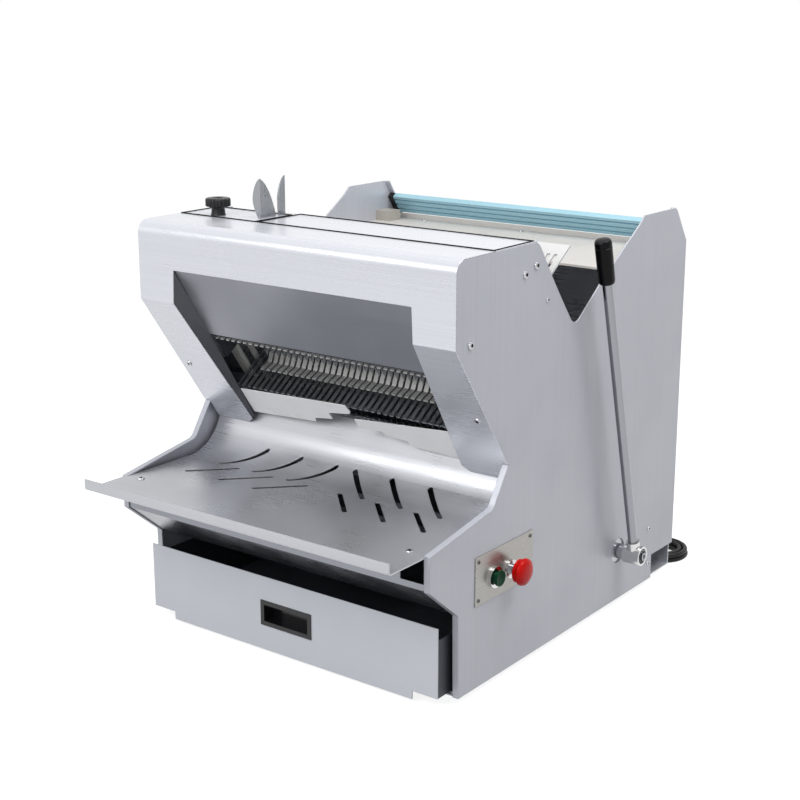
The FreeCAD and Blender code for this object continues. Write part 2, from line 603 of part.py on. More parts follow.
def blade_frame(name, front, first, rod_x):
    """A frame of four bars with every second blade, sliding along the slope."""
    y = (front, f"{front} + frame_bar")
    bars = [box((f"-({FRAME_HALF})", FRAME_HALF), y, (low, f"{low} + frame_bar"), SLOPE)
            for low in ("blade_top", "blade_low - frame_bar")]
    bars += [box(side_bounds(side, "frame_inner", FRAME_HALF), y, ("blade_low", "blade_top"), SLOPE)
             for side in (-1, 1)]
    bars.append(cylinder("rod_radius", "rod_length + 2",
                         (rod_x, f"{front} + frame_bar / 2", "blade_low - frame_bar - rod_length"), Z_AXIS,
                         SLOPE))
    node(f"blade_frame_{name}", fuse(bars))
    middle = (BLADES - 1) / 2
    blade_y = "blade_front" if name == "front" else "blade_front + frame_gap"
    node(f"blades_{name}", together([
        box((f"pitch * {index - middle} - blade_thick / 2", f"pitch * {index - middle} + blade_thick / 2"),
            (blade_y, f"{blade_y} + blade_width"), ("blade_low - 8", "blade_top + 8"), SLOPE)
        for index in range(first, BLADES, 2)]))


FRONT_FRAME = "blade_front - frame_bar"
REAR_FRAME = "blade_front + blade_width + frame_gap"
blade_frame("front", FRONT_FRAME, 0, "-rod_x")
blade_frame("rear", REAR_FRAME, 1, "rod_x")


def slide_guide(side):
    """A plastic guide with one groove for each frame, on two bracket blocks."""
    low, high = side_bounds(side, "guide_inner - guide_depth", "guide_inner + 8")
    body = box((low, high), (f"{FRONT_FRAME} - 6", f"{REAR_FRAME} + frame_bar + 6"),
               ("blade_low + 20", "blade_top - 16"), SLOPE)
    low, high = side_bounds(side, "guide_inner - guide_depth - 1", f"{FRAME_HALF} + gap")
    grooves = [box((low, high), (f"{y} - gap", f"{y} + frame_bar + gap"), ("blade_low", "blade_top"), SLOPE)
               for y in (FRONT_FRAME, REAR_FRAME)]
    return cut(body, grooves)


def guide_bracket(side):
    low, high = side_bounds(side, "guide_inner + 8", "width / 2 - panel_sheet")
    return together([box((low, high), (FRONT_FRAME, f"{REAR_FRAME} + 8"), (z, f"{z} + 30"), SLOPE)
                     for z in ("blade_low + 50", "blade_top - 90")])


node("slide_guides", together(both_sides(slide_guide)))
node("guide_brackets", together(both_sides(guide_bracket)))

# Crank box under the frames, on a wedge seat and a beam between the panels
crank_body = box(("-crank_half", "crank_half"), ("crank_front", "crank_rear"), ("crank_low", "crank_top"),
                 SLOPE)
rod_bores = [cylinder("rod_radius + gap", "40", (x, f"{y} + frame_bar / 2", "crank_top - 30"), Z_AXIS, SLOPE)
             for x, y in (("-rod_x", FRONT_FRAME), ("rod_x", REAR_FRAME))]
shaft_bore = cylinder("crank_shaft_radius + running_gap", "2 * crank_half + 20",
                      ("-crank_half - 10", "crank_y", "crank_shaft_level"), X_AXIS, SLOPE)
node("crank_box", cut(crank_body, rod_bores + [shaft_bore]))
low_front = slope_point("crank_front", "crank_low")
low_rear = slope_point("crank_rear", "crank_low")
crank_seat = prism([low_front, (low_front[0], "beam_high"), (low_rear[0], "beam_high"), low_rear],
                   "-crank_half + 8", "crank_half - 8")
strut_low = slope_point(REAR_BAR_Y, f"{CHUTE_UNDER} - bar_height")
strut_high = slope_point(f"{REAR_BAR_Y} + strut_width", f"{CHUTE_UNDER} - bar_height")
strut_outline = [(strut_low[0], "beam_high"), (strut_high[0], "beam_high"), strut_high, strut_low]
struts = [prism(strut_outline, low, high) for low, high in
          (side_bounds(side, "strut_x", "strut_x + stand_sheet") for side in (-1, 1))]
node("cross_beam", fuse(struts + [crank_seat, box((f"-({INSIDE})", INSIDE),
                                                  (f"{low_front[0]} - 4", f"{low_rear[0]} + 4"),
                                         ("beam_low", "beam_high"))]))
crank_bar = cylinder("crank_shaft_radius", "crank_half + pulley_x + pulley_width + 12",
                     ("-crank_half - 8", "crank_y", "crank_shaft_level"), X_AXIS, SLOPE)
crank_pulley = cylinder("crank_pulley_radius", "pulley_width", ("pulley_x", "crank_y", "crank_shaft_level"),
                        X_AXIS, SLOPE)
node("crank_shaft", fuse([crank_bar, crank_pulley]))
wheel_y, wheel_z = slope_point("crank_y", "crank_shaft_level")

# Motor on its stand over the pusher shaft, with pulley and belt
motor_at = ("-motor_half", "motor_y", "motor_z")
motor_body = fuse([cylinder("motor_radius", "2 * motor_half", motor_at),
                   box(("-motor_half + 20", "motor_half - 20"), ("motor_y - 45", "motor_y + 45"),
                       ("stand_z + stand_sheet", "motor_z")),
                   box(("-40", "40"), ("motor_y - 28", "motor_y + 28"),
                       ("motor_z + 20", "motor_z + motor_radius + 22"))])
motor_shaft_hole = cylinder("motor_shaft_radius + running_gap", "40",
                            ("motor_half - 20", "motor_y", "motor_z"))
node("motor", cut(motor_body, [motor_shaft_hole]))
motor_bar = cylinder("motor_shaft_radius", "pulley_x + pulley_width + 8 - motor_half + 16",
                     ("motor_half - 16", "motor_y", "motor_z"))
node("motor_pulley", fuse([motor_bar, cylinder("motor_pulley_radius", "pulley_width",
                                               ("pulley_x", "motor_y", "motor_z"))]))
STAND = ("motor_y - 62", "motor_y + 62")
stand_outer = box(("-stand_half", "stand_half"), STAND, (FLOOR, "stand_z + stand_sheet"))
stand_inner = box(("-stand_half - 1", "stand_half + 1"), (f"{STAND[0]} + stand_sheet",
                                                          f"{STAND[1]} - stand_sheet"),
                  (f"{FLOOR} - 1", "stand_z"))
node("motor_stand", cut(stand_outer, [stand_inner]))


def belt_loop(extra):
    """The stretched outline of the belt at a distance from the pulleys, as one solid."""
    low = Vector(float(wheel_y), float(wheel_z), 0)
    high = Vector(size("motor_y"), size("motor_z"), 0)
    big = size("crank_pulley_radius + gap") + extra
    small = size("motor_pulley_radius + gap") + extra
    run = high - low
    heading = math.atan2(run.y, run.x)
    lean = math.acos((big - small) / run.Length)

    def on(centre, radius, angle):
        return centre + Vector(math.cos(angle), math.sin(angle), 0) * radius

    upper = [on(low, big, heading + lean), on(high, small, heading + lean)]
    lower = [on(low, big, heading - lean), on(high, small, heading - lean)]
    wire = Part.Wire([
        Part.LineSegment(upper[0], upper[1]).toShape(),
        Part.Arc(upper[1], on(high, small, heading), lower[1]).toShape(),
        Part.LineSegment(lower[1], lower[0]).toShape(),
        Part.Arc(lower[0], on(low, big, heading + math.pi), upper[0]).toShape()])
    return Part.Face(wire).extrude(Vector(0, 0, size("pulley_width - 4")))


belt = doc.addObject("Part::Feature", "belt")
belt.Shape = belt_loop(size("belt_thick")).cut(belt_loop(0))
belt.Placement = BODY * Placement(Vector(size("pulley_x + 2"), 0, 0), OUTLINE_YZ)
node("drive_belt", belt)

# Pusher: cross shaft in two bearings, two arms, a bar and the finger comb
SHAFT = ("shaft_y", "shaft_z")
node("pusher_shaft", cylinder("shaft_radius", f"{INSIDE} + lever_x - 1", (f"-({INSIDE}) + 4", *SHAFT)))


def bearing(side):
    low, high = side_bounds(side, f"{INSIDE} - bearing_length", INSIDE)
    flange = cylinder("bearing_radius", f"({high}) - ({low})", (low, *SHAFT))
    bore = cylinder("shaft_radius + running_gap", f"({high}) - ({low}) + 2", (f"{low} - 1", *SHAFT))
    return cut(flange, [bore])


def pusher_arm(side):
    low, high = side_bounds(side, "arm_inner", "arm_inner + arm_thick")
    arm = box((low, high), ("-arm_half_width", "arm_half_width"), ("0", "push_outer"), PUSHER)
    hub_low, hub_high = side_bounds(side, "arm_inner - 12", "arm_inner + arm_thick")
    hub = cylinder("hub_radius", f"({hub_high}) - ({hub_low})", (hub_low, "0", "0"), X_AXIS, PUSHER)
    bore = cylinder("shaft_radius", "60", (f"({hub_low}) - 20", "0", "0"), X_AXIS, PUSHER)
    return cut(fuse([arm, hub]), [bore])


node("shaft_bearings", together(both_sides(bearing)))
pusher_bar = box(("-arm_inner", "arm_inner"), ("-push_half_thick", "push_half_thick"),
                 ("push_inner", "push_outer"), PUSHER)
node("pusher_frame", fuse(both_sides(pusher_arm) + [pusher_bar]))
COMB_FACE = "-push_half_thick"
comb_blank = bent_sheet(
    [("finger_tip_y", "finger_tip_z"), ("finger_bend_y", "finger_bend_z"), (COMB_FACE, "push_outer - 11"),
     (COMB_FACE, "push_outer - 1")], "-finger_sheet", f"pitch * {FINGERS} / 2 - (pitch - finger_width) / 2",
     frame=PUSHER)
FINGER_ZONE = (("finger_tip_y - 10", "finger_root_y"), ("finger_bend_z - 10", "push_outer - 8"))
finger_gaps = [box((f"pitch * {index - FINGERS / 2} - (pitch - finger_width) / 2",
                    f"pitch * {index - FINGERS / 2} + (pitch - finger_width) / 2"), *FINGER_ZONE, PUSHER)
               for index in range(1, FINGERS)]
finger_side = box(("-width / 2", "width / 2"), *FINGER_ZONE, PUSHER)
web_side = box(("-width / 2", "width / 2"), ("finger_root_y", "0"), ("finger_bend_z - 10", "push_outer"),
               PUSHER)
node("pusher_comb", together([cut(comb_blank, [finger_side]), cut(comb_blank, [web_side] + finger_gaps)]))

# Lever outside the right panel
LEVER = BODY * Placement(Vector(size("lever_x"), size("shaft_y"), size("shaft_z")),
                         Rotation(X_AXIS, size("lever_tilt")))
hub_body = cylinder("lever_hub_radius", "2 * lever_hub_half", ("-lever_hub_half", "0", "0"), X_AXIS, LEVER)
hub_boss = cylinder("lever_radius + 3", "14", ("0", "0", "lever_hub_radius - 4"), Z_AXIS, LEVER)
hub_shaft_bore = cylinder("shaft_radius + running_gap", "lever_hub_half + 40", ("-40", "0", "0"), X_AXIS,
                          LEVER)
hub_rod_bore = cylinder("lever_radius + running_gap", "40", ("0", "0", "shaft_radius + 1"), Z_AXIS, LEVER)
node("lever_hub", cut(fuse([hub_body, hub_boss]), [hub_shaft_bore, hub_rod_bore]))
screw_head = cylinder("7", "lever_screw_head", ("lever_hub_half", "0", "0"), X_AXIS, LEVER)
screw_socket = cylinder("3.4", "lever_screw_head", ("lever_hub_half + 1", "0", "0"), X_AXIS, LEVER)
node("lever_hub_screw", cut(screw_head, [screw_socket]))
node("lever_rod", cylinder("lever_radius", "lever_length + 40 - shaft_radius - 1",
                           ("0", "0", "shaft_radius + 1"), Z_AXIS, LEVER))
grip_blank = turned([("0", "0"), ("grip_radius - 2", "0"), ("grip_radius", "3"),
                     ("grip_radius + 0.5", "grip_length - 6"),
                     ("grip_radius - 2", "grip_length"), ("0", "grip_length")],
                    ("0", "0", "lever_length"), Z_AXIS, LEVER)
grip_bore = cylinder("lever_radius + running_gap", "40", ("0", "0", "lever_length"), Z_AXIS, LEVER)
node("lever_grip", cut(grip_blank, [grip_bore]))

# Controls on the right panel
OUTER = "width / 2"
plate_blank = box((OUTER, f"{OUTER} + plate_sheet"), ("plate_front_y", "plate_rear_y"),
                  ("plate_low", "plate_high"))
plate_holes = [cylinder("button_collar / 2 + 3", "20", (f"{OUTER} - 5", y, "button_z"))
               for y in ("start_y", "stop_y")]
node("control_plate", cut(plate_blank, plate_holes))
FACE = f"{OUTER} + plate_sheet"


def collar(y, radius):
    """A ring round a button, with a sleeve through the panel."""
    ring = cylinder(radius, "4", (FACE, y, "button_z"))
    sleeve = cylinder("button_collar / 2 + 2.5", "plate_sheet + 20", (f"{OUTER} - 20", y, "button_z"))
    bore = cylinder("button_stem + running_gap", "60", (f"{OUTER} - 30", y, "button_z"))
    return cut(fuse([ring, sleeve]), [bore])


node("button_collars", together([collar("start_y", "start_radius + 4"),
                                 collar("stop_y", "start_radius + 2")]))
start_cap = cylinder("start_radius", "4", (f"{FACE} + 8", "start_y", "button_z"))
start_stem = cylinder("button_stem", "28", (f"{FACE} - 20", "start_y", "button_z"))
node("start_button", fuse([start_cap, start_stem]))
node("stop_stem", cylinder("button_stem", "34", (f"{FACE} - 20", "stop_y", "button_z")))
node("stop_button", turned([("0", "0"), ("13", "0"), ("14", "4"), ("stop_radius - 1", "5"),
                            ("stop_radius", "7"),
                            ("stop_radius - 1", "12"), ("stop_radius - 7", "16"), ("0", "17.5")],
                           (f"{FACE} + 14", "stop_y", "button_z"), X_AXIS))
node("contact_box", box((f"{OUTER} - 62", f"{OUTER} - 24"), ("start_y - 22", "stop_y + 22"),
                        ("button_z - 22", "button_z + 22")))

# Lids, knob and the two bag guide leaves
SEAT = "panel_top"
lid_right = box(("lid_split_x + 1", f"{OUTER} - 1"), ("lid_front_y", "lid_rear_y"),
                (SEAT, f"{SEAT} + lid_sheet"))
lid_left = box((f"-({OUTER}) + 1", "lid_split_x - 1"), ("lid_front_y", "lid_rear_y - 15"),
               (SEAT, f"{SEAT} + lid_sheet"))
node("top_lids", together([lid_left, lid_right]))
LID_TOP = f"{SEAT} + lid_sheet"
knob_blank = turned([("0", "0.2"), ("knob_stem_radius", "0.2"), ("knob_stem_radius - 1", "13"),
                     ("knob_radius - 1", "14"),
                     ("knob_radius", "16"), ("knob_radius", "14 + knob_disc - 2"),
                     ("knob_radius - 2", "14 + knob_disc"),
                     ("0", "14 + knob_disc")], ("knob_x", "knob_y", LID_TOP), Z_AXIS)
node("lid_knob", knob_blank)


def leaf(fold, along, wing):
    """An upright angle of two curved lobes that share one fold."""
    high = size("leaf_top")
    base = size(LID_TOP)
    side_lobe = prism([(y, z) for y, z in along(fold, base, high)], "leaf_x", "leaf_x + leaf_sheet",
                      rounds={2: "5", 3: "5"})
    cross = [("leaf_x + leaf_sheet", LID_TOP), ("leaf_x - 10", LID_TOP), ("leaf_x - 15", f"{LID_TOP} + 24"),
             ("leaf_x - 8", "leaf_top - 8"), ("leaf_x + leaf_sheet", "leaf_top")]
    low = text_of(fold if wing > 0 else fold - size("leaf_sheet"))
    cross_lobe = prism(cross, f"-({low}) - leaf_sheet", f"-({low})", OUTLINE_XZ, rounds={2: "12"})
    return fuse([side_lobe, cross_lobe])


front_leaf = leaf(size("leaf_front_y"), lambda fold, base, high: [
    (fold, base), (fold + 36, base), (fold + 26, base + 32), (fold + 6, high), (fold, high - 4)], 1)
rear_leaf = leaf(size("leaf_rear_y"), lambda fold, base, high: [
    (fold, base), (fold - 16, base), (fold - 18, base + 30), (fold - 5, high), (fold, high - 3)], -1)
node("bag_leaves", together([front_leaf, rear_leaf]))

# Screws, alike ones together
RIGHT_SPOTS = [("20", "516"), ("155", "panel_top - 42.5"), ("184", "panel_top - 33.5")]
SMALL_SPOTS = [("217", "547"), ("565", "94"), ("567", "30")]


def side_screw(side, y, z, radius, head):
    low, high = side_bounds(side, OUTER, f"{OUTER} + {head}")
    return cylinder(radius, f"({high}) - ({low})", (low, y, z))


panel_screws = [side_screw(side, y, z, "screw_radius", "screw_head") for side in (-1, 1) for y,
                z in RIGHT_SPOTS]
small_screws = [side_screw(side, y, z, "small_screw_radius", "small_screw_head")
                for side in (-1, 1) for y, z in SMALL_SPOTS]
node("panel_screws", together(panel_screws + small_screws))
leg_screws = [cylinder("5", "2", (x, "0", "-144"), Y_AXIS, SLOPE)
              for x in ("-width / 2 + leg_screw_inset", "width / 2 - leg_screw_inset")]
for screw in leg_screws:
    screw.Placement = screw.Placement * Placement(Vector(0, 0, -2), Rotation())
tray_screws = [cylinder("screw_radius", "small_screw_head", (x, "nose_y + 4", "tray_z"), Z_AXIS)
               for x in ("-tray_half + tray_screw_inset", "tray_half - tray_screw_inset")]
shelf_screws = [cylinder("small_screw_radius", "small_screw_head", (x, "shelf_rear_y - 12", "shelf_z"),
                         Z_AXIS)
                for x in ("-shelf_screw_pitch - 8", "-8", "shelf_screw_pitch - 8")]
node("sheet_screws", together(leg_screws + tray_screws + shelf_screws))
node("plate_screws", together([cylinder("3", "1.5", (FACE, y, z))
                               for y in ("plate_front_y + 8", "plate_rear_y - 8")
                               for z in ("plate_low + 8", "plate_high - 8")]))

# Supply cord: gland in the rear cover, a free lead, a wound coil on the floor, a tail and the plug
FLOOR_LINE = "cord_radius - foot_height"
GLAND_Y = "rear_face_y"
gland = turned([("0", "0"), ("11", "0"), ("11", "6"), ("8", "8"), ("cord_radius + 1.6", "gland_length"),
                ("0", "gland_length")], ("gland_x", GLAND_Y, "gland_z"), Y_AXIS)
node("cord_gland", gland)


def tube(points, radius, name):
    """Straight runs joined by tangent arcs, swept with a round section."""
    spots = [Vector(*(size(text) for text in point)) for point in points]
    edges = []
    start = spots[0]
    least = None
    for before, corner, after in zip(spots, spots[1:], spots[2:]):
        into = (corner - before).normalize()
        out = (after - corner).normalize()
        half_turn = into.getAngle(out) / 2
        reach = 0.45 * min((corner - before).Length, (after - corner).Length)
        bend = reach / math.tan(half_turn)
        least = bend if least is None else min(least, bend)
        enter = corner - into * reach
        leave = corner + out * reach
        centre_way = (out - into).normalize()
        middle = corner + centre_way * (bend / math.cos(half_turn) - bend)
        edges.append(Part.LineSegment(start, enter).toShape())
        edges.append(Part.Arc(enter, middle, leave).toShape())
        start = leave
    edges.append(Part.LineSegment(start, spots[-1]).toShape())
    path = Part.Wire(edges)
    ring = Part.Wire(Part.makeCircle(radius, spots[0], spots[1] - spots[0]))
    solid = path.makePipeShell([ring], True, False)
    expected = math.pi * radius ** 2 * path.Length
    print(f"{name}: length {path.Length:.0f}, least bend radius {least:.1f}, volume ratio {solid.Volume / expected:.4f}")
    return solid


def coil_spot(turn):
    """A point of the winding: in on the floor, up a layer in the inner half turn, out on top."""
    turns = size("coil_turns")
    inner = size("coil_radius - coil_pitch * coil_turns")
    layer = size("coil_layer")
    if turn <= turns:
        radius = size("coil_radius") - size("coil_pitch") * turn
        height = 0
    elif turn <= turns + 0.5:
        radius = inner
        part = (turn - turns) / 0.5
        height = layer * part * part * (3 - 2 * part)
    else:
        radius = inner + size("coil_pitch") * (turn - turns - 0.5)
        height = layer
    angle = math.pi / 2 - 2 * math.pi * turn
    return Vector(size("coil_x") + radius * math.cos(angle), size("coil_y") + radius * math.sin(angle),
                  size(FLOOR_LINE) + height)


def coil_heading(turn):
    last = 2 * size("coil_turns") + 0.5
    if turn < 0.01:
        return Vector(1, 0, 0)
    if turn > last - 0.01:
        return Vector(-1, 0, 0)
    step = 0.002
    return (coil_spot(turn + step) - coil_spot(turn - step)).normalize()


def biarc(start, start_way, end, end_way):
    """Two arcs that leave one point along its heading and reach the next along its own."""
    chord = end - start
    total = start_way + end_way
    square = 2 * (1 - start_way.dot(end_way))
    along = chord.dot(total)
    reach = (-along + math.sqrt(along * along + square * chord.dot(chord))) / square
    first = start + start_way * reach
    second = end - end_way * reach
    joint = (first + second) * 0.5

    def arc(low, low_way, high):
        run = high - low
        normal = run.cross(low_way).cross(run)
        if normal.Length < 1e-9:
            return Part.LineSegment(low, high).toShape()
        bulge = normal.normalize()
        angle = low_way.getAngle(run)
        return Part.Arc(low, low + run * 0.5 + bulge * (run.Length / 2 * math.tan(angle / 2)), high).toShape()

    back = arc(end, end_way * -1, joint)
    forward = arc(start, start_way, joint)
    middle_value = (back.FirstParameter + back.LastParameter) / 2
    turned_back = Part.Arc(joint, back.valueAt(middle_value), end).toShape()
    return [forward, turned_back]


coil_last = 2 * size("coil_turns") + 0.5
quarter_turns = [index / 4 for index in range(int(coil_last * 4) + 1)]
stations = [(coil_spot(turn), coil_heading(turn)) for turn in quarter_turns]
straight = size("2 * cord_radius")
coil_start = stations[0][0] - stations[0][1] * straight
coil_end = stations[-1][0] + stations[-1][1] * straight
coil_edges = [Part.LineSegment(coil_start, stations[0][0]).toShape()]
for (spot, way), (next_spot, next_way) in zip(stations, stations[1:]):
    coil_edges += biarc(spot, way, next_spot, next_way)
coil_edges.append(Part.LineSegment(stations[-1][0], coil_end).toShape())
coil_path = Part.Wire(coil_edges)
coil_ring = Part.Wire(Part.makeCircle(size("cord_radius"), coil_start, stations[0][1]))
coil_solid = coil_path.makePipeShell([coil_ring], True, False)
line_points = coil_path.discretize(Distance=2.0)
least_gap = min(
    line_points[one].distanceToPoint(line_points[two])
    for one in range(0, len(line_points)) for two in range(one + 20,
                                                           len(line_points))) - size("2 * cord_radius")
coil_ratio = coil_solid.Volume / (math.pi * size("cord_radius") ** 2 * coil_path.Length)
print(f"coil: length {coil_path.Length:.0f}, least gap to itself {least_gap:.2f}, volume ratio {coil_ratio:.4f}")


def made(name, shape):
    item = doc.addObject("Part::Feature", name)
    item.Shape = shape
    item.Placement = BODY
    return node(name, item)


def texts(point):
    return tuple(text_of(value) for value in (point.x, point.y, point.z))


made("cord_coil", coil_solid)
made("cord_lead", tube([("gland_x", f"{GLAND_Y} + gland_length", "gland_z"),
                        ("gland_x", "depth + 42", "gland_z"),
                        ("168", "depth + 67", "10"), ("177", "depth + 91", FLOOR_LINE),
                        ("195", "depth + 109", FLOOR_LINE),
                        ("216", "coil_y + coil_radius", FLOOR_LINE), texts(coil_start)], size("cord_radius"),
                        "lead"))
PLUG_X = "148"
PLUG_Y = "depth + 17"
PLUG_Z = "plug_half - foot_height - 1"
made("cord_tail", tube([texts(coil_end), ("218", "coil_y - coil_radius", texts(coil_end)[2]),
                        ("196", "depth + 15", "0"),
                        ("172", PLUG_Y, PLUG_Z), (PLUG_X, PLUG_Y, PLUG_Z)], size("cord_radius"), "tail"))
plug_body = box((f"{PLUG_X} - plug_length", PLUG_X), (f"{PLUG_Y} - plug_half", f"{PLUG_Y} + plug_half"),
                ("-foot_height", "2 * plug_half - foot_height - 2"))
pins = [box((f"{PLUG_X} - plug_length - 17", f"{PLUG_X} - plug_length"), (y, f"{y} + 5"),
            (f"{PLUG_Z} - 3", f"{PLUG_Z} + 3"))
        for y in (f"{PLUG_Y} - 10", f"{PLUG_Y} + 5")]
node("cord_plug", fuse([plug_body] + pins))

# Check every object, then write each sub-part
doc.recompute()
failed = [item.Label for item in doc.Objects if "Invalid" in item.State or "Error" in item.State]
if failed:
    raise RuntimeError("failed: " + ", ".join(failed))
os.makedirs("parts", exist_ok=True)
for item in nodes:
    shape = item.Shape
    if shape.isNull() or not shape.isValid() or shape.Volume <= 0:
        raise RuntimeError(f"{item.Label} has no sound shape")
    shape.exportStep(f"parts/{item.Label}.step")
print(len(nodes), "sub-parts written")
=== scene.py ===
"""A commercial bread slicer with a sloping blade frame, a slice tray and a crumb drawer."""

import json
import math

import bmesh
import bpy
from bpy.props import FloatProperty, FloatVectorProperty, IntProperty, PointerProperty
from mathutils import Matrix, Vector


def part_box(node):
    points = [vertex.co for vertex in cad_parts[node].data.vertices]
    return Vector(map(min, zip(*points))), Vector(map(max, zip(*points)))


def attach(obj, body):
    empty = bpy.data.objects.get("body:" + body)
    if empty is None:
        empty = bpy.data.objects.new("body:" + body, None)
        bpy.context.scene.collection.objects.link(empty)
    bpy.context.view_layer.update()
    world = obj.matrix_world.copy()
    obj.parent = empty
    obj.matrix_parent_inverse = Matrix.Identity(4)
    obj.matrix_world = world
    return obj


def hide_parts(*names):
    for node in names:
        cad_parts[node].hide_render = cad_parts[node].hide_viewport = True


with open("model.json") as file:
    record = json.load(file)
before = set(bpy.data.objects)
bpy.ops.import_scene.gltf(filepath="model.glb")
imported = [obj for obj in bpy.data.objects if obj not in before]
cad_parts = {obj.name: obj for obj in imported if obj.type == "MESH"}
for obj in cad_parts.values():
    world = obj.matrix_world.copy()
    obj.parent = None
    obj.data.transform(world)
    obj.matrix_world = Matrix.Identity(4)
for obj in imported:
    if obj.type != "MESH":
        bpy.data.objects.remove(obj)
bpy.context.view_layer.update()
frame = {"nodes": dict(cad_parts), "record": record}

bl_info = {
    "name": "Bread slicer",
    "version": (1, 0, 0),
    "blender": (4, 5, 0),
    "location": "View3D > Sidebar > Slicer",
    "description": "Dresses the packed bread slicer: metal finishes, blades, screws, controls and cord",
    "category": "Object",
}

UP_SLOPE = Vector(next(joint["axis"] for joint in frame["record"]["behaviour"]["joints"]
                       if joint["name"] == "front_frame_stroke"))
BACK_SLOPE = Vector((0, UP_SLOPE.z, -UP_SLOPE.y))
# The frame's origin, in the numbers of the cord's route and of the lids' split
MIDDLE = Vector((0.0225, 0.25925, -0.012))
ALONG_X = Vector((1, 0, 0))
ALONG_Y = Vector((0, 1, 0))
ALONG_Z = Vector((0, 0, 1))


# Meshes

# Points closer than this are one
TOUCHING = 1e-6


def new_object(name, mesh, material):
    """A piece in the scene that wears one material."""
    piece = bpy.data.objects.new(name, mesh)
    bpy.context.scene.collection.objects.link(piece)
    mesh.materials.append(material)
    return piece


def mesh_from(bm, name):
    """A mesh whose faces point outwards, made from a bmesh and named."""
    bmesh.ops.recalc_face_normals(bm, faces=bm.faces)
    mesh = bpy.data.meshes.new(name)
    bm.to_mesh(mesh)
    bm.free()
    return mesh


def smooth_by_angle(mesh, degrees):
    """Smooth shading that keeps the sharp edges."""
    for face in mesh.polygons:
        face.use_smooth = True
    bm = bmesh.new()
    bm.from_mesh(mesh)
    for edge in bm.edges:
        if len(edge.link_faces) != 2 or edge.calc_face_angle(0) > math.radians(degrees):
            edge.smooth = False
    bm.to_mesh(mesh)
    bm.free()


def lathe(profile, place, segments=72, flutes=0, flute_depth=0.0, flute_span=(0, 0)):
    """A turned mesh from (radius, height) pairs; flutes cut its rim between two profile rows."""
    bm = bmesh.new()
    rings = []
    for row, (radius, height) in enumerate(profile):
        if radius < TOUCHING:
            rings.append([bm.verts.new((0, 0, height))])
            continue
        ring = []
        for index in range(segments):
            angle = 2 * math.pi * index / segments
            reach = radius
            if flutes and flute_span[0] <= row <= flute_span[1]:
                reach -= flute_depth * (0.5 - 0.5 * math.cos(flutes * angle)) ** 2
            ring.append(bm.verts.new((reach * math.cos(angle), reach * math.sin(angle), height)))
        rings.append(ring)
    for low, high in zip(rings, rings[1:]):
        for index in range(segments):
            after = (index + 1) % segments
            if len(low) == 1 and len(high) > 1:
                bm.faces.new((low[0], high[index], high[after]))
            elif len(high) == 1 and len(low) > 1:
                bm.faces.new((low[index], low[after], high[0]))
            elif len(low) > 1:
                bm.faces.new((low[index], low[after], high[after], high[index]))
    bmesh.ops.transform(bm, matrix=place, verts=bm.verts)
    mesh = mesh_from(bm, "turned")
    smooth_by_angle(mesh, 35)
    return mesh


def axis_place(centre, axis):
    """A matrix whose Z runs along an axis from a centre."""
    return Matrix.Translation(centre) @ ALONG_Z.rotation_difference(axis).to_matrix().to_4x4()


def scaled(profile, radius, height):
    """A lathe profile from one that is given in parts of the radius and the height."""
    return [(radius * reach, height * rise) for reach, rise in profile]


def turning(name, axis, side):
    """The foot, radius and length of a turned node, from its box."""
    low, high = (Vector(corner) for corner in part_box(name))
    foot = (low + high) / 2
    foot[axis] = low[axis]
    return foot, (high[side] - low[side]) / 2, high[axis] - low[axis]


def round_curve(name, kind, points, radius, resolution):
    """A curve of one spline with a round section, and that spline."""
    curve = bpy.data.curves.new(name, "CURVE")
    curve.dimensions = "3D"
    curve.bevel_depth = radius
    curve.bevel_resolution = resolution
    curve.use_fill_caps = True
    spline = curve.splines.new(kind)
    spline.points.add(len(points) - 1)
    for point, spot in zip(spline.points, points):
        point.co = (*spot, 1)
    piece = bpy.data.objects.new(name, curve)
    bpy.context.scene.collection.objects.link(piece)
    return piece, spline


def islands(name):
    """The centre and size of each separate solid of a node."""
    bm = bmesh.new()
    bm.from_mesh(frame["nodes"][name].data)
    bmesh.ops.remove_doubles(bm, verts=bm.verts, dist=TOUCHING)
    seen = set()
    found = []
    for start in bm.verts:
        if start in seen:
            continue
        stack = [start]
        seen.add(start)
        group = []
        while stack:
            vert = stack.pop()
            group.append(vert.co.copy())
            for edge in vert.link_edges:
                other = edge.other_vert(vert)
                if other not in seen:
                    seen.add(other)
                    stack.append(other)
        low = Vector([min(point[axis] for point in group) for axis in range(3)])
        high = Vector([max(point[axis] for point in group) for axis in range(3)])
        found.append(((low + high) / 2, high - low))
    bm.free()
    return found


# Materials

# Sockets of a Mix node that mixes colours
MIX_FACTOR, MIX_LOW, MIX_HIGH, MIX_RESULT = 0, 6, 7, 2

# Noise: how much fine detail it has, and how often it repeats along each axis in a metre
STREAK_DETAIL = 1.6
CLOUD_DETAIL = 2.0
SHEET_CLOUD = (9, 9, 9)
PAINT_CLOUD = (14, 14, 14)
PLASTIC_CLOUD = (40, 40, 40)
PLASTIC_GRAIN = (1400, 1400, 1400)
TURNING_MARKS = (900, 900, 60)
# Bumps: the strength of the plastic's grain, and depths
PLASTIC_BUMP = 0.06
PLAIN_DEPTH = 0.0002
FINE_DEPTH = 0.0001
# Black of the plastic parts; the same black stands as painted shade inside the screw sockets and on the
# shaded rail-end block
BLACK_PLASTIC_AND_SHADE = (0.012, 0.012, 0.013)
# Pale grey as painted light on the lit left block; its shaded twin on the right stays black as painted shade
LIT_BLOCK_PAINTED_LIGHT = (0.42, 0.40, 0.36)
# How far back the pale block of painted light reaches
LIT_BLOCK_DEEP = 0.0325


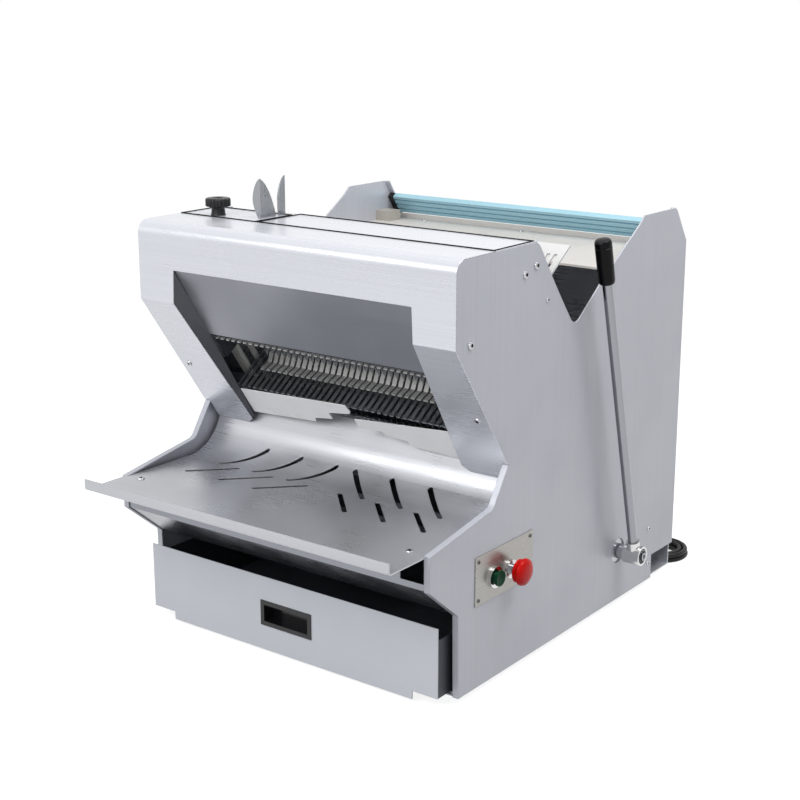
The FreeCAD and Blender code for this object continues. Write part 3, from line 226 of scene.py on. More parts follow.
class Shade:
    """A node material that is built step by step on the object's own coordinates."""

    def __init__(self, name, colour, metallic, roughness, specular=0.5):
        self.material = bpy.data.materials.new(name)
        self.material.use_nodes = True
        self.tree = self.material.node_tree
        self.shader = self.tree.nodes["Principled BSDF"]
        self.shader.inputs["Base Color"].default_value = (*colour, 1)
        self.shader.inputs["Metallic"].default_value = metallic
        self.shader.inputs["Roughness"].default_value = roughness
        self.shader.inputs["Specular IOR Level"].default_value = specular
        self.colour = colour

    def node(self, kind, **values):
        item = self.tree.nodes.new(kind)
        for name, value in values.items():
            setattr(item, name, value)
        return item

    def link(self, output, target):
        self.tree.links.new(output, target)

    def noise(self, stretch, detail):
        """Noise on object coordinates, stretched along each axis."""
        where = self.node("ShaderNodeTexCoord")
        mapping = self.node("ShaderNodeMapping")
        mapping.inputs["Scale"].default_value = stretch
        texture = self.node("ShaderNodeTexNoise")
        texture.inputs["Scale"].default_value = 1.0
        texture.inputs["Detail"].default_value = detail
        self.link(where.outputs["Object"], mapping.inputs["Vector"])
        self.link(mapping.outputs["Vector"], texture.inputs["Vector"])
        return texture.outputs["Fac"]

    def spread(self, source, low, high, start=0.3, end=0.7):
        """Maps a factor to a range of values."""
        ramp = self.node("ShaderNodeMapRange")
        ramp.inputs["From Min"].default_value = start
        ramp.inputs["From Max"].default_value = end
        ramp.inputs["To Min"].default_value = low
        ramp.inputs["To Max"].default_value = high
        self.link(source, ramp.inputs["Value"])
        return ramp.outputs["Result"]

    def blend(self, source, low, high):
        """Takes the base colour from one colour to another."""
        mix = self.node("ShaderNodeMix", data_type="RGBA")
        mix.inputs[MIX_LOW].default_value = (*low, 1)
        mix.inputs[MIX_HIGH].default_value = (*high, 1)
        self.link(source, mix.inputs[MIX_FACTOR])
        self.link(mix.outputs[MIX_RESULT], self.shader.inputs["Base Color"])

    def tint(self, source, low, high):
        """Mixes two brightnesses of the base colour."""
        self.blend(source, [channel * low for channel in self.colour],
                   [min(channel * high, 1) for channel in self.colour])

    def bump(self, source, strength, distance=PLAIN_DEPTH, edge=0.0):
        """Raises the surface by a factor, and rounds its edges where an edge radius is given."""
        bump = self.node("ShaderNodeBump")
        if edge:
            rounding = self.node("ShaderNodeBevel")
            rounding.inputs["Radius"].default_value = edge
            self.link(rounding.outputs["Normal"], bump.inputs["Normal"])
        bump.inputs["Strength"].default_value = strength
        bump.inputs["Distance"].default_value = distance
        self.link(source, bump.inputs["Height"])
        self.link(bump.outputs["Normal"], self.shader.inputs["Normal"])

    def rough(self, source, low, high):
        """Varies the roughness between two values."""
        self.link(self.spread(source, low, high), self.shader.inputs["Roughness"])


def brushed(name, colour, grain, metallic, roughness, depth, edge=0.0):
    """Brushed sheet: fine streaks along the grain and faint cloudy smears."""
    shade = Shade(name, colour, metallic, roughness)
    streak = shade.noise(grain, STREAK_DETAIL)
    cloud = shade.noise(SHEET_CLOUD, CLOUD_DETAIL)
    shade.tint(streak, 0.93, 1.06)
    both = shade.node("ShaderNodeMath", operation="MULTIPLY_ADD")
    shade.link(streak, both.inputs[0])
    both.inputs[1].default_value = 0.5
    shade.link(shade.spread(cloud, 0.0, 0.5), both.inputs[2])
    shade.rough(both.outputs[0], roughness * 0.8, roughness * 1.25)
    shade.bump(streak, depth, edge=edge)
    return shade.material


def painted(name, colour, roughness, grain=900.0, depth=0.08, edge=0.0):
    """Powder coat: a fine orange-peel bump and slightly uneven gloss."""
    shade = Shade(name, colour, 0.0, roughness)
    peel = shade.noise((grain, grain, grain), CLOUD_DETAIL)
    cloud = shade.noise(PAINT_CLOUD, CLOUD_DETAIL)
    shade.tint(cloud, 0.95, 1.04)
    shade.rough(cloud, roughness * 0.85, roughness * 1.15)
    shade.bump(peel, depth, edge=edge)
    return shade.material


def moulded(name, colour, roughness, specular=0.25):
    """Moulded plastic with a fine spark-eroded grain."""
    shade = Shade(name, colour, 0.0, roughness, specular)
    grain = shade.noise(PLASTIC_GRAIN, 1.0)
    cloud = shade.noise(PLASTIC_CLOUD, CLOUD_DETAIL)
    shade.tint(cloud, 0.9, 1.08)
    shade.rough(cloud, roughness * 0.85, roughness * 1.2)
    shade.bump(grain, PLASTIC_BUMP, FINE_DEPTH)
    return shade.material


def plated(name, colour, roughness):
    """Bright plated steel with faint turning marks."""
    shade = Shade(name, colour, 1.0, roughness)
    marks = shade.noise(TURNING_MARKS, CLOUD_DETAIL)
    shade.tint(marks, 0.95, 1.03)
    shade.rough(marks, roughness * 0.8, roughness * 1.3)
    shade.bump(marks, 0.04, FINE_DEPTH)
    return shade.material


def rail_end_lit_and_shaded():
    """Black caps, with a pale block on the shelf at the left end: painted light, for the lit left block and
    the shaded right one are the same part.
    """
    shade = Shade("rail_end_lit_and_shaded", BLACK_PLASTIC_AND_SHADE, 0.0, 0.4, 0.3)
    shade.bump(shade.noise(PLASTIC_GRAIN, 3.0), PLASTIC_BUMP, FINE_DEPTH)
    place = shade.node("ShaderNodeSeparateXYZ")
    where = shade.node("ShaderNodeTexCoord")
    shade.link(where.outputs["Object"], place.inputs["Vector"])
    lit_side_tests = []
    for axis, limit in (("Y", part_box("rail_ends")[0][1] + LIT_BLOCK_DEEP), ("X", 0)):
        below = shade.node("ShaderNodeMath", operation="LESS_THAN")
        shade.link(place.outputs[axis], below.inputs[0])
        below.inputs[1].default_value = limit
        lit_side_tests.append(below)
    both = shade.node("ShaderNodeMath", operation="MULTIPLY")
    for test, target in zip(lit_side_tests, both.inputs):
        shade.link(test.outputs[0], target)
    # Painted light: the block on the lit left side turns pale, and the shaded one on the right stays black
    shade.blend(both.outputs[0], BLACK_PLASTIC_AND_SHADE, LIT_BLOCK_PAINTED_LIGHT)
    return shade.material


# Settings

class SlicerColours(bpy.types.PropertyGroup):
    """Colours of the finishes."""
    panel: FloatVectorProperty(name="Panels", description="Satin steel of the side panels",
                               subtype="COLOR", size=3, default=(0.53, 0.545, 0.60))
    hood: FloatVectorProperty(name="Hood", description="Satin steel of the hood and lids",
                              subtype="COLOR", size=3, default=(0.70, 0.72, 0.77))
    tray: FloatVectorProperty(name="Tray", description="Brushed steel of the tray",
                              subtype="COLOR", size=3, default=(0.50, 0.51, 0.54))
    bright: FloatVectorProperty(name="Bright steel", description="Bright steel of the upper guide comb",
                                subtype="COLOR", size=3, default=(0.66, 0.66, 0.66))
    drawer: FloatVectorProperty(name="Drawer front", description="Light grey paint of the drawer front",
                                subtype="COLOR", size=3, default=(0.70, 0.73, 0.79))
    # The funnel's steel is set dark as painted shade, for the funnel lies in shadow under the hood; the apron
    # and the cheeks are made from it too
    funnel: FloatVectorProperty(name="Funnel", description="Dull steel of the funnel and the apron",
                                subtype="COLOR", size=3, default=(0.26, 0.27, 0.30))
    rail: FloatVectorProperty(name="Rail", description="Light blue anodised rail",
                              subtype="COLOR", size=3, default=(0.36, 0.60, 0.70))
    shelf: FloatVectorProperty(name="Rear shelf", description="Warm grey paint of the rear shelf",
                               subtype="COLOR", size=3, default=(0.60, 0.575, 0.55))
    start: FloatVectorProperty(name="Start button", description="Green of the start button",
                               subtype="COLOR", size=3, default=(0.003, 0.05, 0.022))
    stop: FloatVectorProperty(name="Stop button", description="Red of the stop button",
                              subtype="COLOR", size=3, default=(0.62, 0.005, 0.003))
    dark: FloatVectorProperty(name="Dark parts", description="Dark grey paint inside the body",
                              subtype="COLOR", size=3, default=(0.035, 0.04, 0.05))


class SlicerSizes(bpy.types.PropertyGroup):
    """Sizes of the dressed pieces."""
    tooth: FloatProperty(name="Tooth", description="Length of one blade tooth", default=0.006,
                         unit="LENGTH")
    tooth_depth: FloatProperty(name="Tooth depth", description="Depth of a blade tooth", default=0.0014,
                               unit="LENGTH")
    blade_thick: FloatProperty(name="Blade", description="Thickness of a blade", default=0.0008,
                               unit="LENGTH")
    socket_share: FloatProperty(name="Socket", description="Width of a screw's socket as a share of its head",
                                default=0.5, min=0.2, max=0.8)
    knob_flutes: IntProperty(name="Flutes", description="Flutes round the knob", default=20, min=6)
    cord_radius: FloatProperty(name="Cord radius", description="Radius of the supply cord", default=0.004,
                               unit="LENGTH")


def colours():
    """The scene's colour settings."""
    return bpy.context.scene.slicer_colours


def sizes():
    """The scene's size settings."""
    return bpy.context.scene.slicer_sizes


def assign(name, material):
    """Gives a CAD node its finish."""
    mesh = frame["nodes"][name].data
    mesh.materials.clear()
    mesh.materials.append(material)


# Operators

# Brushed grain: the streaks run along the axis with the smallest number
GRAIN_ACROSS = (4, 700, 700)
GRAIN_UP = (700, 700, 4)
PANEL_GRAIN = (420, 420, 2)
HOOD_GRAIN = (1.5, 420, 420)
TRAY_GRAIN = (2, 450, 450)
PLATE_GRAIN = (450, 3, 450)
CHUTE_GRAIN = (700, 4, 700)
RAIL_GRAIN = (3, 900, 900)
MACHINED_GRAIN = (60, 900, 900)
SHEET_EDGE = 0.0015
THIN_EDGE = 0.001
# The cheeks wear a darker copy of the funnel's steel: painted shade, for they lie deeper in shadow
CHEEK_PAINTED_SHADE = 0.42

PLATE_STEEL = (0.36, 0.35, 0.33)
CHUTE_STEEL = (0.26, 0.27, 0.28)
PUSHER_STEEL = (0.50, 0.50, 0.49)
MACHINED_STEEL = (0.42, 0.43, 0.45)
STOP_ENAMEL = (0.93, 0.93, 0.94)
MOTOR_PAINT = (0.03, 0.05, 0.08)
CASTING_PAINT = (0.09, 0.095, 0.1)
HANDLE_PLASTIC = (0.008, 0.008, 0.010)
SLIDE_PLASTIC = (0.7, 0.7, 0.66)
FOOT_RUBBER = (0.018, 0.018, 0.018)
LEVER_PLATING = (0.27, 0.28, 0.30)
COLLAR_PLATING = (0.6, 0.6, 0.6)


class SLICER_OT_finishes(bpy.types.Operator):
    """Give every carried-over node its procedural finish"""
    bl_idname = "slicer.finishes"
    bl_label = "Finishes"

    def execute(self, context):
        tone = colours()
        # A shaded copy of the funnel's steel, as painted shade on the cheeks
        shaded_cheek = [part * CHEEK_PAINTED_SHADE for part in tone.funnel]
        finishes = {
            brushed("satin_panel", tone.panel, PANEL_GRAIN, metallic=0.18, roughness=0.36, depth=0.015,
                    edge=SHEET_EDGE):
                "side_panel_left side_panel_right",
            brushed("satin_hood", tone.hood, HOOD_GRAIN, metallic=0.5, roughness=0.28, depth=0.012,
                    edge=SHEET_EDGE):
                "front_hood top_lids rear_cover base_plate",
            brushed("bright_sheet", tone.bright, GRAIN_ACROSS, metallic=0.15, roughness=0.4, depth=0.08):
                "upper_guide_comb",
            brushed("tray_sheet", tone.tray, TRAY_GRAIN, metallic=0.7, roughness=0.34, depth=0.03,
                    edge=THIN_EDGE):
                "out_tray",
            # The apron wears the funnel's darkened steel, so it carries the same painted shade
            brushed("apron_sheet", tone.funnel, GRAIN_ACROSS, metallic=0.85, roughness=0.25, depth=0.06):
                "apron_plate",
            brushed("plate_sheet", PLATE_STEEL, PLATE_GRAIN, metallic=0.7, roughness=0.3, depth=0.03):
                "control_plate",
            brushed("chute_sheet", CHUTE_STEEL, CHUTE_GRAIN, metallic=0.9, roughness=0.3, depth=0.06):
                "chute_comb",
            brushed("pusher_sheet", PUSHER_STEEL, GRAIN_ACROSS, metallic=0.6, roughness=0.4, depth=0.05):
                "pusher_comb",
            # Painted shade: the funnel's steel is darkened for the shadow it lies in under the hood
            brushed("funnel_sheet", tone.funnel, GRAIN_ACROSS, metallic=0.7, roughness=0.38, depth=0.05):
                "upper_funnel_plate",
            brushed("cheek_painted_shade", shaded_cheek, GRAIN_UP, metallic=0.7, roughness=0.4, depth=0.05):
                "funnel_cheeks",
            brushed("rail_anodised", tone.rail, RAIL_GRAIN, metallic=0.3, roughness=0.35, depth=0.1):
                "rear_rail",
            brushed("machined_steel", MACHINED_STEEL, MACHINED_GRAIN, metallic=1.0, roughness=0.3,
                    depth=0.05):
                "blade_frame_front blade_frame_rear crank_shaft motor_pulley pusher_shaft pusher_frame"
                " shaft_bearings",
            painted("dark_paint", tone.dark, roughness=0.45):
                "drawer_box channel_sides tray_bar comb_bars cross_beam motor_stand guide_brackets"
                " contact_box",
            painted("stop_enamel", STOP_ENAMEL, roughness=0.3):
                "slice_stops",
            painted("drawer_paint", tone.drawer, roughness=0.34, edge=THIN_EDGE):
                "drawer_front",
            painted("shelf_paint", tone.shelf, roughness=0.45):
                "rear_shelf",
            painted("motor_paint", MOTOR_PAINT, roughness=0.4):
                "motor",
            painted("casting_paint", CASTING_PAINT, roughness=0.6, grain=500.0, depth=0.2):
                "crank_box",
            moulded("black_plastic", BLACK_PLASTIC_AND_SHADE, roughness=0.38):
                "cord_gland cord_plug",
            moulded("handle_plastic", HANDLE_PLASTIC, roughness=0.16, specular=0.5):
                "drawer_handle",
            moulded("slide_plastic", SLIDE_PLASTIC, roughness=0.45):
                "slide_guides",
            moulded("foot_rubber", FOOT_RUBBER, roughness=0.75):
                "rubber_feet drive_belt",
            rail_end_lit_and_shaded():
                "rail_ends",
            plated("lever_plating", LEVER_PLATING, roughness=0.16):
                "lever_rod lever_hub_screw stop_stem",
            plated("collar_plating", COLLAR_PLATING, roughness=0.16):
                "button_collars lever_hub",
        }
        for material, names in finishes.items():
            for name in names.split():
                assign(name, material)
        return {"FINISHED"}


def tilted_size(low, high):
    """Length along the slope and width across it of a bar whose box is known."""
    rise = UP_SLOPE.z
    lean = -UP_SLOPE.y
    height = high.z - low.z
    depth = high.y - low.y
    span = rise * rise - lean * lean
    return (height * rise - depth * lean) / span, (depth * rise - height * lean) / span


def blade_tree(material, count, pitch):
    """A node tree that sets the blade down along a line."""
    tree = bpy.data.node_groups.new("blade_row", "GeometryNodeTree")
    tree.interface.new_socket("Geometry", in_out="INPUT", socket_type="NodeSocketGeometry")
    number = tree.interface.new_socket("Count", in_out="INPUT", socket_type="NodeSocketInt")
    step = tree.interface.new_socket("Pitch", in_out="INPUT", socket_type="NodeSocketFloat")
    tree.interface.new_socket("Geometry", in_out="OUTPUT", socket_type="NodeSocketGeometry")
    start = tree.nodes.new("NodeGroupInput")
    end = tree.nodes.new("NodeGroupOutput")
    line = tree.nodes.new("GeometryNodeMeshLine")
    offset = tree.nodes.new("ShaderNodeCombineXYZ")
    put = tree.nodes.new("GeometryNodeInstanceOnPoints")
    real = tree.nodes.new("GeometryNodeRealizeInstances")
    paint = tree.nodes.new("GeometryNodeSetMaterial")
    paint.inputs["Material"].default_value = material
    tree.links.new(start.outputs["Count"], line.inputs["Count"])
    tree.links.new(start.outputs["Pitch"], offset.inputs["X"])
    tree.links.new(offset.outputs["Vector"], line.inputs["Offset"])
    tree.links.new(line.outputs["Mesh"], put.inputs["Points"])
    tree.links.new(start.outputs["Geometry"], put.inputs["Instance"])
    tree.links.new(put.outputs["Instances"], real.inputs["Geometry"])
    tree.links.new(real.outputs["Geometry"], paint.inputs["Geometry"])
    tree.links.new(paint.outputs["Geometry"], end.inputs["Geometry"])
    return tree, {number.identifier: count, step.identifier: pitch}


def grown(piece, tree, values, name, material):
    """The plain mesh that a node tree makes of a piece."""
    modifier = piece.modifiers.new("row", "NODES")
    modifier.node_group = tree
    for identifier, value in values.items():
        modifier[identifier] = value
    bpy.context.view_layer.update()
    result = piece.evaluated_get(bpy.context.evaluated_depsgraph_get())
    mesh = bpy.data.meshes.new_from_object(result)
    piece.modifiers.remove(modifier)
    bpy.data.objects.remove(piece)
    mesh.materials.clear()
    return new_object(name, mesh, material)


BLADE_STEEL = (0.62, 0.63, 0.65)
BLADE_GRAIN = (700, 60, 60)
# One tooth of a blade: part of its length, and part of its depth cut away
TOOTH_PROFILE = ((0, 0), (0.25, 0.8), (0.5, 1), (0.75, 0.8))


def blade_mesh(place, length, width):
    """One flat blade along the slope with teeth on its rear edge."""
    teeth = int(length / sizes().tooth)
    step = length / teeth
    half = sizes().blade_thick / 2
    edge = [(-width / 2, -length / 2), (-width / 2, length / 2)]
    for index in range(teeth):
        top = length / 2 - index * step
        edge += [(width / 2 - sizes().tooth_depth * cut, top - step * part) for part, cut in TOOTH_PROFILE]
    edge.append((width / 2, -length / 2))
    bm = bmesh.new()
    sides = []
    for x in (-half, half):
        middle = place + ALONG_X * x
        sides.append([bm.verts.new(middle + BACK_SLOPE * back + UP_SLOPE * up) for back, up in edge])
    for side in sides:
        bm.faces.new(side)
    for index in range(len(edge)):
        after = (index + 1) % len(edge)
        bm.faces.new((sides[0][index], sides[0][after], sides[1][after], sides[1][index]))
    return mesh_from(bm, "blade")


class SLICER_OT_blades(bpy.types.Operator):
    """Make both rows of toothed blades"""
    bl_idname = "slicer.blades"
    bl_label = "Blades"

    def execute(self, context):
        steel = brushed("blade_steel", BLADE_STEEL, BLADE_GRAIN, metallic=1.0, roughness=0.22, depth=0.05)
        for name, body in (("blades_front", "front_blade_frame"), ("blades_rear", "rear_blade_frame")):
            low, high = (Vector(corner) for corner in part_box(name))
            length, width = tilted_size(low, high)
            spots = sorted(centre.x for centre, _ in islands(name))
            place = (low + high) / 2
            place.x = spots[0]
            blade = new_object("one_blade", blade_mesh(place, length, width), steel)
            tree, values = blade_tree(steel, len(spots), spots[1] - spots[0])
            row = grown(blade, tree, values, name + "_toothed", steel)
            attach(row, body)
            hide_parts(name)
        return {"FINISHED"}


SCREW_SEGMENTS = 36
# The domed head: part of the radius and part of the height, from its foot up
HEAD_PROFILE = ((1, 0), (1, 0.35), (0.9, 0.75), (0.72, 0.95))
# The socket: its rim against its own width, its floor against the head's height, and what is shaded
SOCKET_RIM = 1.12
SOCKET_FLOOR = 0.35
SOCKET_SIDES = 6
SHADED_REACH = 0.45
# A sheet screw that is lower than this sits on a level sheet and points up
LEVEL_SCREW = 0.003
SHEET_SCREW_HEIGHT = 0.002
SCREW_PLATING = (0.5, 0.5, 0.52)
SMALL_SCREW_PLATING = (0.12, 0.12, 0.12)


def screw_mesh(centre, axis, radius, height):
    """A domed head with a hexagon socket, whose material slot 1 is the inside of the socket, painted black as
    shade.
    """
    socket = radius * sizes().socket_share
    bm = bmesh.new()

    def ring(reach, z, sides=0):
        points = []
        for index in range(SCREW_SEGMENTS):
            angle = 2 * math.pi * index / SCREW_SEGMENTS
            far = reach
            if sides:
                part = (angle % (2 * math.pi / sides)) - math.pi / sides
                far = reach * math.cos(math.pi / sides) / math.cos(part)
            points.append(bm.verts.new((far * math.cos(angle), far * math.sin(angle), z)))
        return points

    rows = [ring(reach, rise) for reach, rise in scaled(HEAD_PROFILE, radius, height)]
    rows += [ring(socket * SOCKET_RIM, height), ring(socket, height, SOCKET_SIDES),
             ring(socket, height * SOCKET_FLOOR, SOCKET_SIDES)]
    for low, high in zip(rows, rows[1:]):
        for index in range(SCREW_SEGMENTS):
            after = (index + 1) % SCREW_SEGMENTS
            bm.faces.new((low[index], low[after], high[after], high[index]))
    bm.faces.new(rows[-1])
    bm.faces.new(list(reversed(rows[0])))
    bmesh.ops.transform(bm, matrix=axis_place(centre - axis * height / 2, axis), verts=bm.verts)
    for face in bm.faces:
        arm = face.calc_center_median() - centre
        if (arm - axis * arm.dot(axis)).length < radius * SHADED_REACH:
            face.material_index = 1
    return mesh_from(bm, "head")


def screw_axis(name, centre, extent):
    """The way a screw's head points: up or out of the slope on the sheets, outwards on the sides."""
    if name != "sheet_screws":
        return ALONG_X if centre.x > 0 else -ALONG_X
    return ALONG_Z if extent.z < LEVEL_SCREW else -BACK_SLOPE


class SLICER_OT_screws(bpy.types.Operator):
    """Turn every screw into a domed head with a socket"""
    bl_idname = "slicer.screws"
    bl_label = "Screws"

    def execute(self, context):
        steel = plated("screw_plating", SCREW_PLATING, roughness=0.2)
        small = plated("small_screw_plating", SMALL_SCREW_PLATING, roughness=0.3)
        # The insides of the sockets are painted black as painted shade
        socket = moulded("socket_shade", BLACK_PLASTIC_AND_SHADE, roughness=0.6)
        for name in ("panel_screws", "sheet_screws", "plate_screws"):
            whole = bmesh.new()
            for centre, extent in islands(name):
                height = SHEET_SCREW_HEIGHT if name == "sheet_screws" else min(extent)
                head = screw_mesh(centre, screw_axis(name, centre, extent), max(extent) / 2, height)
                whole.from_mesh(head)
                bpy.data.meshes.remove(head)
            joined = bpy.data.meshes.new(name)
            whole.to_mesh(joined)
            whole.free()
            smooth_by_angle(joined, 30)
            piece = new_object(name + "_socketed", joined, small if name == "plate_screws" else steel)
            joined.materials.append(socket)
            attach(piece, "machine")
            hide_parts(name)
        return {"FINISHED"}


# Turned profiles: part of the radius and part of the height
STOP_PROFILE = ((0, 0), (0.82, 0), (0.87, 0.05), (0.87, 0.34), (0.78, 0.38), (0.78, 0.42), (0.98, 0.46),
                (1, 0.5), (1, 0.64), (0.95, 0.78), (0.8, 0.9), (0.5, 0.98), (0, 1))
KNOB_PROFILE = ((0, 0), (0.6, 0), (0.56, 0.08), (0.52, 0.4), (0.6, 0.49), (0.92, 0.51), (1, 0.55),
                (1, 0.9), (0.95, 0.97), (0.85, 1), (0.4, 1))
# The shallow hollow in the knob's top: part of the radius, and its depth
KNOB_HOLLOW = (0.36, 0.001)
KNOB_FLUTE_DEPTH = 0.0014
KNOB_FLUTED_ROWS = (5, 8)
KNOB_SEGMENTS = 160
KNOB_PLASTIC = (0.012, 0.012, 0.014)
# The start button's face: part of the radius and the distance below its tip
START_STEM = 2 / 3
START_FACE = ((START_STEM, 0.004), (1, 0.004), (1, 0.001), (0.93, 0.0002), (0.8, 0.0006), (0.4, 0.0009),
              (0, 0.001))


class SLICER_OT_controls(bpy.types.Operator):
    """Make the two buttons and the knob"""
    bl_idname = "slicer.controls"
    bl_label = "Controls"

    def execute(self, context):
        foot, radius, deep = turning("stop_button", 0, 1)
        head = new_object("stop_button_domed",
                          lathe(scaled(STOP_PROFILE, radius, deep), axis_place(foot, ALONG_X)),
                          moulded("stop_red", colours().stop, roughness=0.2, specular=0.12))
        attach(head, "stop_head")
        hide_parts("stop_button")

        foot, radius, deep = turning("start_button", 0, 1)
        profile = [(0, 0), (radius * START_STEM, 0)]
        profile += [(radius * reach, deep - below) for reach, below in START_FACE]
        cap = new_object("start_button_dished", lathe(profile, axis_place(foot, ALONG_X)),
                         moulded("start_green", colours().start, roughness=0.3, specular=0.08))
        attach(cap, "start_key")
        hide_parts("start_button")

        foot, radius, tall = turning("lid_knob", 2, 0)
        hollow = tall - KNOB_HOLLOW[1]
        profile = scaled(KNOB_PROFILE, radius, tall) + [(radius * KNOB_HOLLOW[0], hollow), (0, hollow)]
        knob = new_object("lid_knob_fluted",
                          lathe(profile, axis_place(foot, ALONG_Z), KNOB_SEGMENTS, sizes().knob_flutes,
                                KNOB_FLUTE_DEPTH, KNOB_FLUTED_ROWS),
                          moulded("knob_plastic", KNOB_PLASTIC, roughness=0.3))
        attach(knob, "knob")
        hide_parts("lid_knob")
        return {"FINISHED"}


# The lever's axle on the panel, and the way its rod leans
LEVER_FOOT = Vector((0.3075, 0.20075, 0.098))
LEVER_LEAN = math.radians(14.7)
LEVER_WAY = Vector((0, -math.sin(LEVER_LEAN), math.cos(LEVER_LEAN)))
GRIP_START = 0.486
GRIP_LENGTH = 0.071
GRIP_RADIUS = 0.013
# The grip's foot and head: part of the radius, and the distance from the foot or below the top
GRIP_FOOT = ((0, 0), (0.72, 0), (0.86, 0.0006), (0.93, 0.002), (0.97, 0.006))
GRIP_WAIST = 0.4
GRIP_HEAD = ((1.02, 0.014), (1.02, 0.0125), (0.96, 0.0118), (0.96, 0.0106), (1.02, 0.01), (1.02, 0.006),
             (0.97, 0.003), (0.84, 0.001), (0.6, 0.0002), (0, 0))
GRIP_PLASTIC = (0.002, 0.002, 0.003)


class SLICER_OT_grip(bpy.types.Operator):
    """Turn the lever's grip with its domed end and ring"""
    bl_idname = "slicer.grip"
    bl_label = "Grip"

    def execute(self, context):
        profile = [(GRIP_RADIUS * reach, rise) for reach, rise in GRIP_FOOT]
        profile.append((GRIP_RADIUS, GRIP_LENGTH * GRIP_WAIST))
        profile += [(GRIP_RADIUS * reach, GRIP_LENGTH - below) for reach, below in GRIP_HEAD]
        place = axis_place(LEVER_FOOT + LEVER_WAY * GRIP_START, LEVER_WAY)
        grip = new_object("lever_grip_turned", lathe(profile, place),
                          moulded("grip_plastic", GRIP_PLASTIC, roughness=0.2, specular=0.12))
        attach(grip, "pusher")
        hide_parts("lever_grip")
        return {"FINISHED"}


# Half outlines of the bag leaves: sideways in millimetres, upwards as a part of the height.
PETAL_WIDE = ((36, 0), (33.5, 0.16), (28, 0.4), (20, 0.66), (10, 0.88), (0, 1))
PETAL_ROUND = ((4, 0), (10, 0.17), (14.5, 0.4), (14, 0.6), (10, 0.8), (5, 0.93), (0, 1))
PETAL_SLIM = ((16, 0), (17.8, 0.18), (17, 0.42), (13, 0.68), (7, 0.88), (0, 1))
PETAL_BACK = ((10, 0), (14.5, 0.3), (14, 0.5), (10, 0.74), (5, 0.91), (0, 1))
LEAF_THICK = 0.0012
LEAF_STEEL = (0.36, 0.37, 0.39)


def rounded_path(points, steps=8):
    """Points on a smooth line through the given ones."""
    ends = [points[0], *points, points[-1]]
    path = []
    for before, start, end, after in zip(ends, ends[1:], ends[2:], ends[3:]):
        for step in range(steps):
            part = step / steps
            path.append(tuple(0.5 * (2 * b + (c - a) * part + (2 * a - 5 * b + 4 * c - d) * part ** 2
                                     + (3 * b - a - 3 * c + d) * part ** 3)
                              for a, b, c, d in zip(before, start, end, after)))
    return path + [points[-1]]


def petal(whole, outline, height, fold, across, sheet):
    """One curved lobe of sheet that stands on the fold and spreads along across."""
    up = ALONG_Z * height
    edge = [(0, 0)] + rounded_path(outline)
    face = whole.faces.new([whole.verts.new(fold + across * (wide / 1000) + up * tall)
                            for wide, tall in edge])
    lifted = bmesh.ops.extrude_face_region(whole, geom=[face])["geom"]
    bmesh.ops.translate(whole, vec=sheet,
                        verts=[part for part in lifted if isinstance(part, bmesh.types.BMVert)])


class SLICER_OT_leaves(bpy.types.Operator):
    """Shape the two bag leaves as folded petals"""
    bl_idname = "slicer.leaves"
    bl_label = "Bag leaves"

    def execute(self, context):
        low, high = (Vector(corner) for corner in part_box("bag_leaves"))
        height = high.z - low.z
        front = Vector((high.x - LEAF_THICK, low.y, low.z))
        rear = Vector((high.x - LEAF_THICK, high.y, low.z))
        whole = bmesh.new()
        petal(whole, PETAL_WIDE, height, front, ALONG_Y, ALONG_X * LEAF_THICK)
        petal(whole, PETAL_ROUND, height, front, -ALONG_X, ALONG_Y * LEAF_THICK)
        petal(whole, PETAL_SLIM, height, rear, -ALONG_Y, ALONG_X * LEAF_THICK)
        petal(whole, PETAL_BACK, height, rear, -ALONG_X, ALONG_Y * -LEAF_THICK)
        mesh = mesh_from(whole, "bag_leaves_folded")
        smooth_by_angle(mesh, 30)
        steel = brushed("leaf_steel", LEAF_STEEL, GRAIN_UP, metallic=0.9, roughness=0.28, depth=0.08)
        leaves = new_object("bag_leaves_folded", mesh, steel)
        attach(leaves, "machine")
        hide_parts("bag_leaves")
        return {"FINISHED"}


# The beads of painted seam shadow lie round the lids, which meet at the split; the left lid ends short of the
# right one
LID_SPLIT = -0.138 - MIDDLE.x
HALF_SEAM = 0.001
LEFT_LID_SHORT = 0.015
SHADOW_BEAD = 0.0017
SHADOW_INSET = 0.002
SHADOW_SINK = 0.0002
# Near black: painted shadow of the seams between the hood and the lids, and along the right lid's rear edge
# its dark strip
SEAM_SHADOW_BLACK = (0.003, 0.003, 0.004)


def seam_shadow_loop(name, points, material):
    """A closed round bead along straight runs, as a plain mesh."""
    holder, spline = round_curve(name, "POLY", points, SHADOW_BEAD, 3)
    spline.use_cyclic_u = True
    bpy.context.view_layer.update()
    mesh = bpy.data.meshes.new_from_object(holder.evaluated_get(bpy.context.evaluated_depsgraph_get()))
    bpy.data.objects.remove(holder)
    mesh.materials.clear()
    for face in mesh.polygons:
        face.use_smooth = True
    return new_object(name, mesh, material)


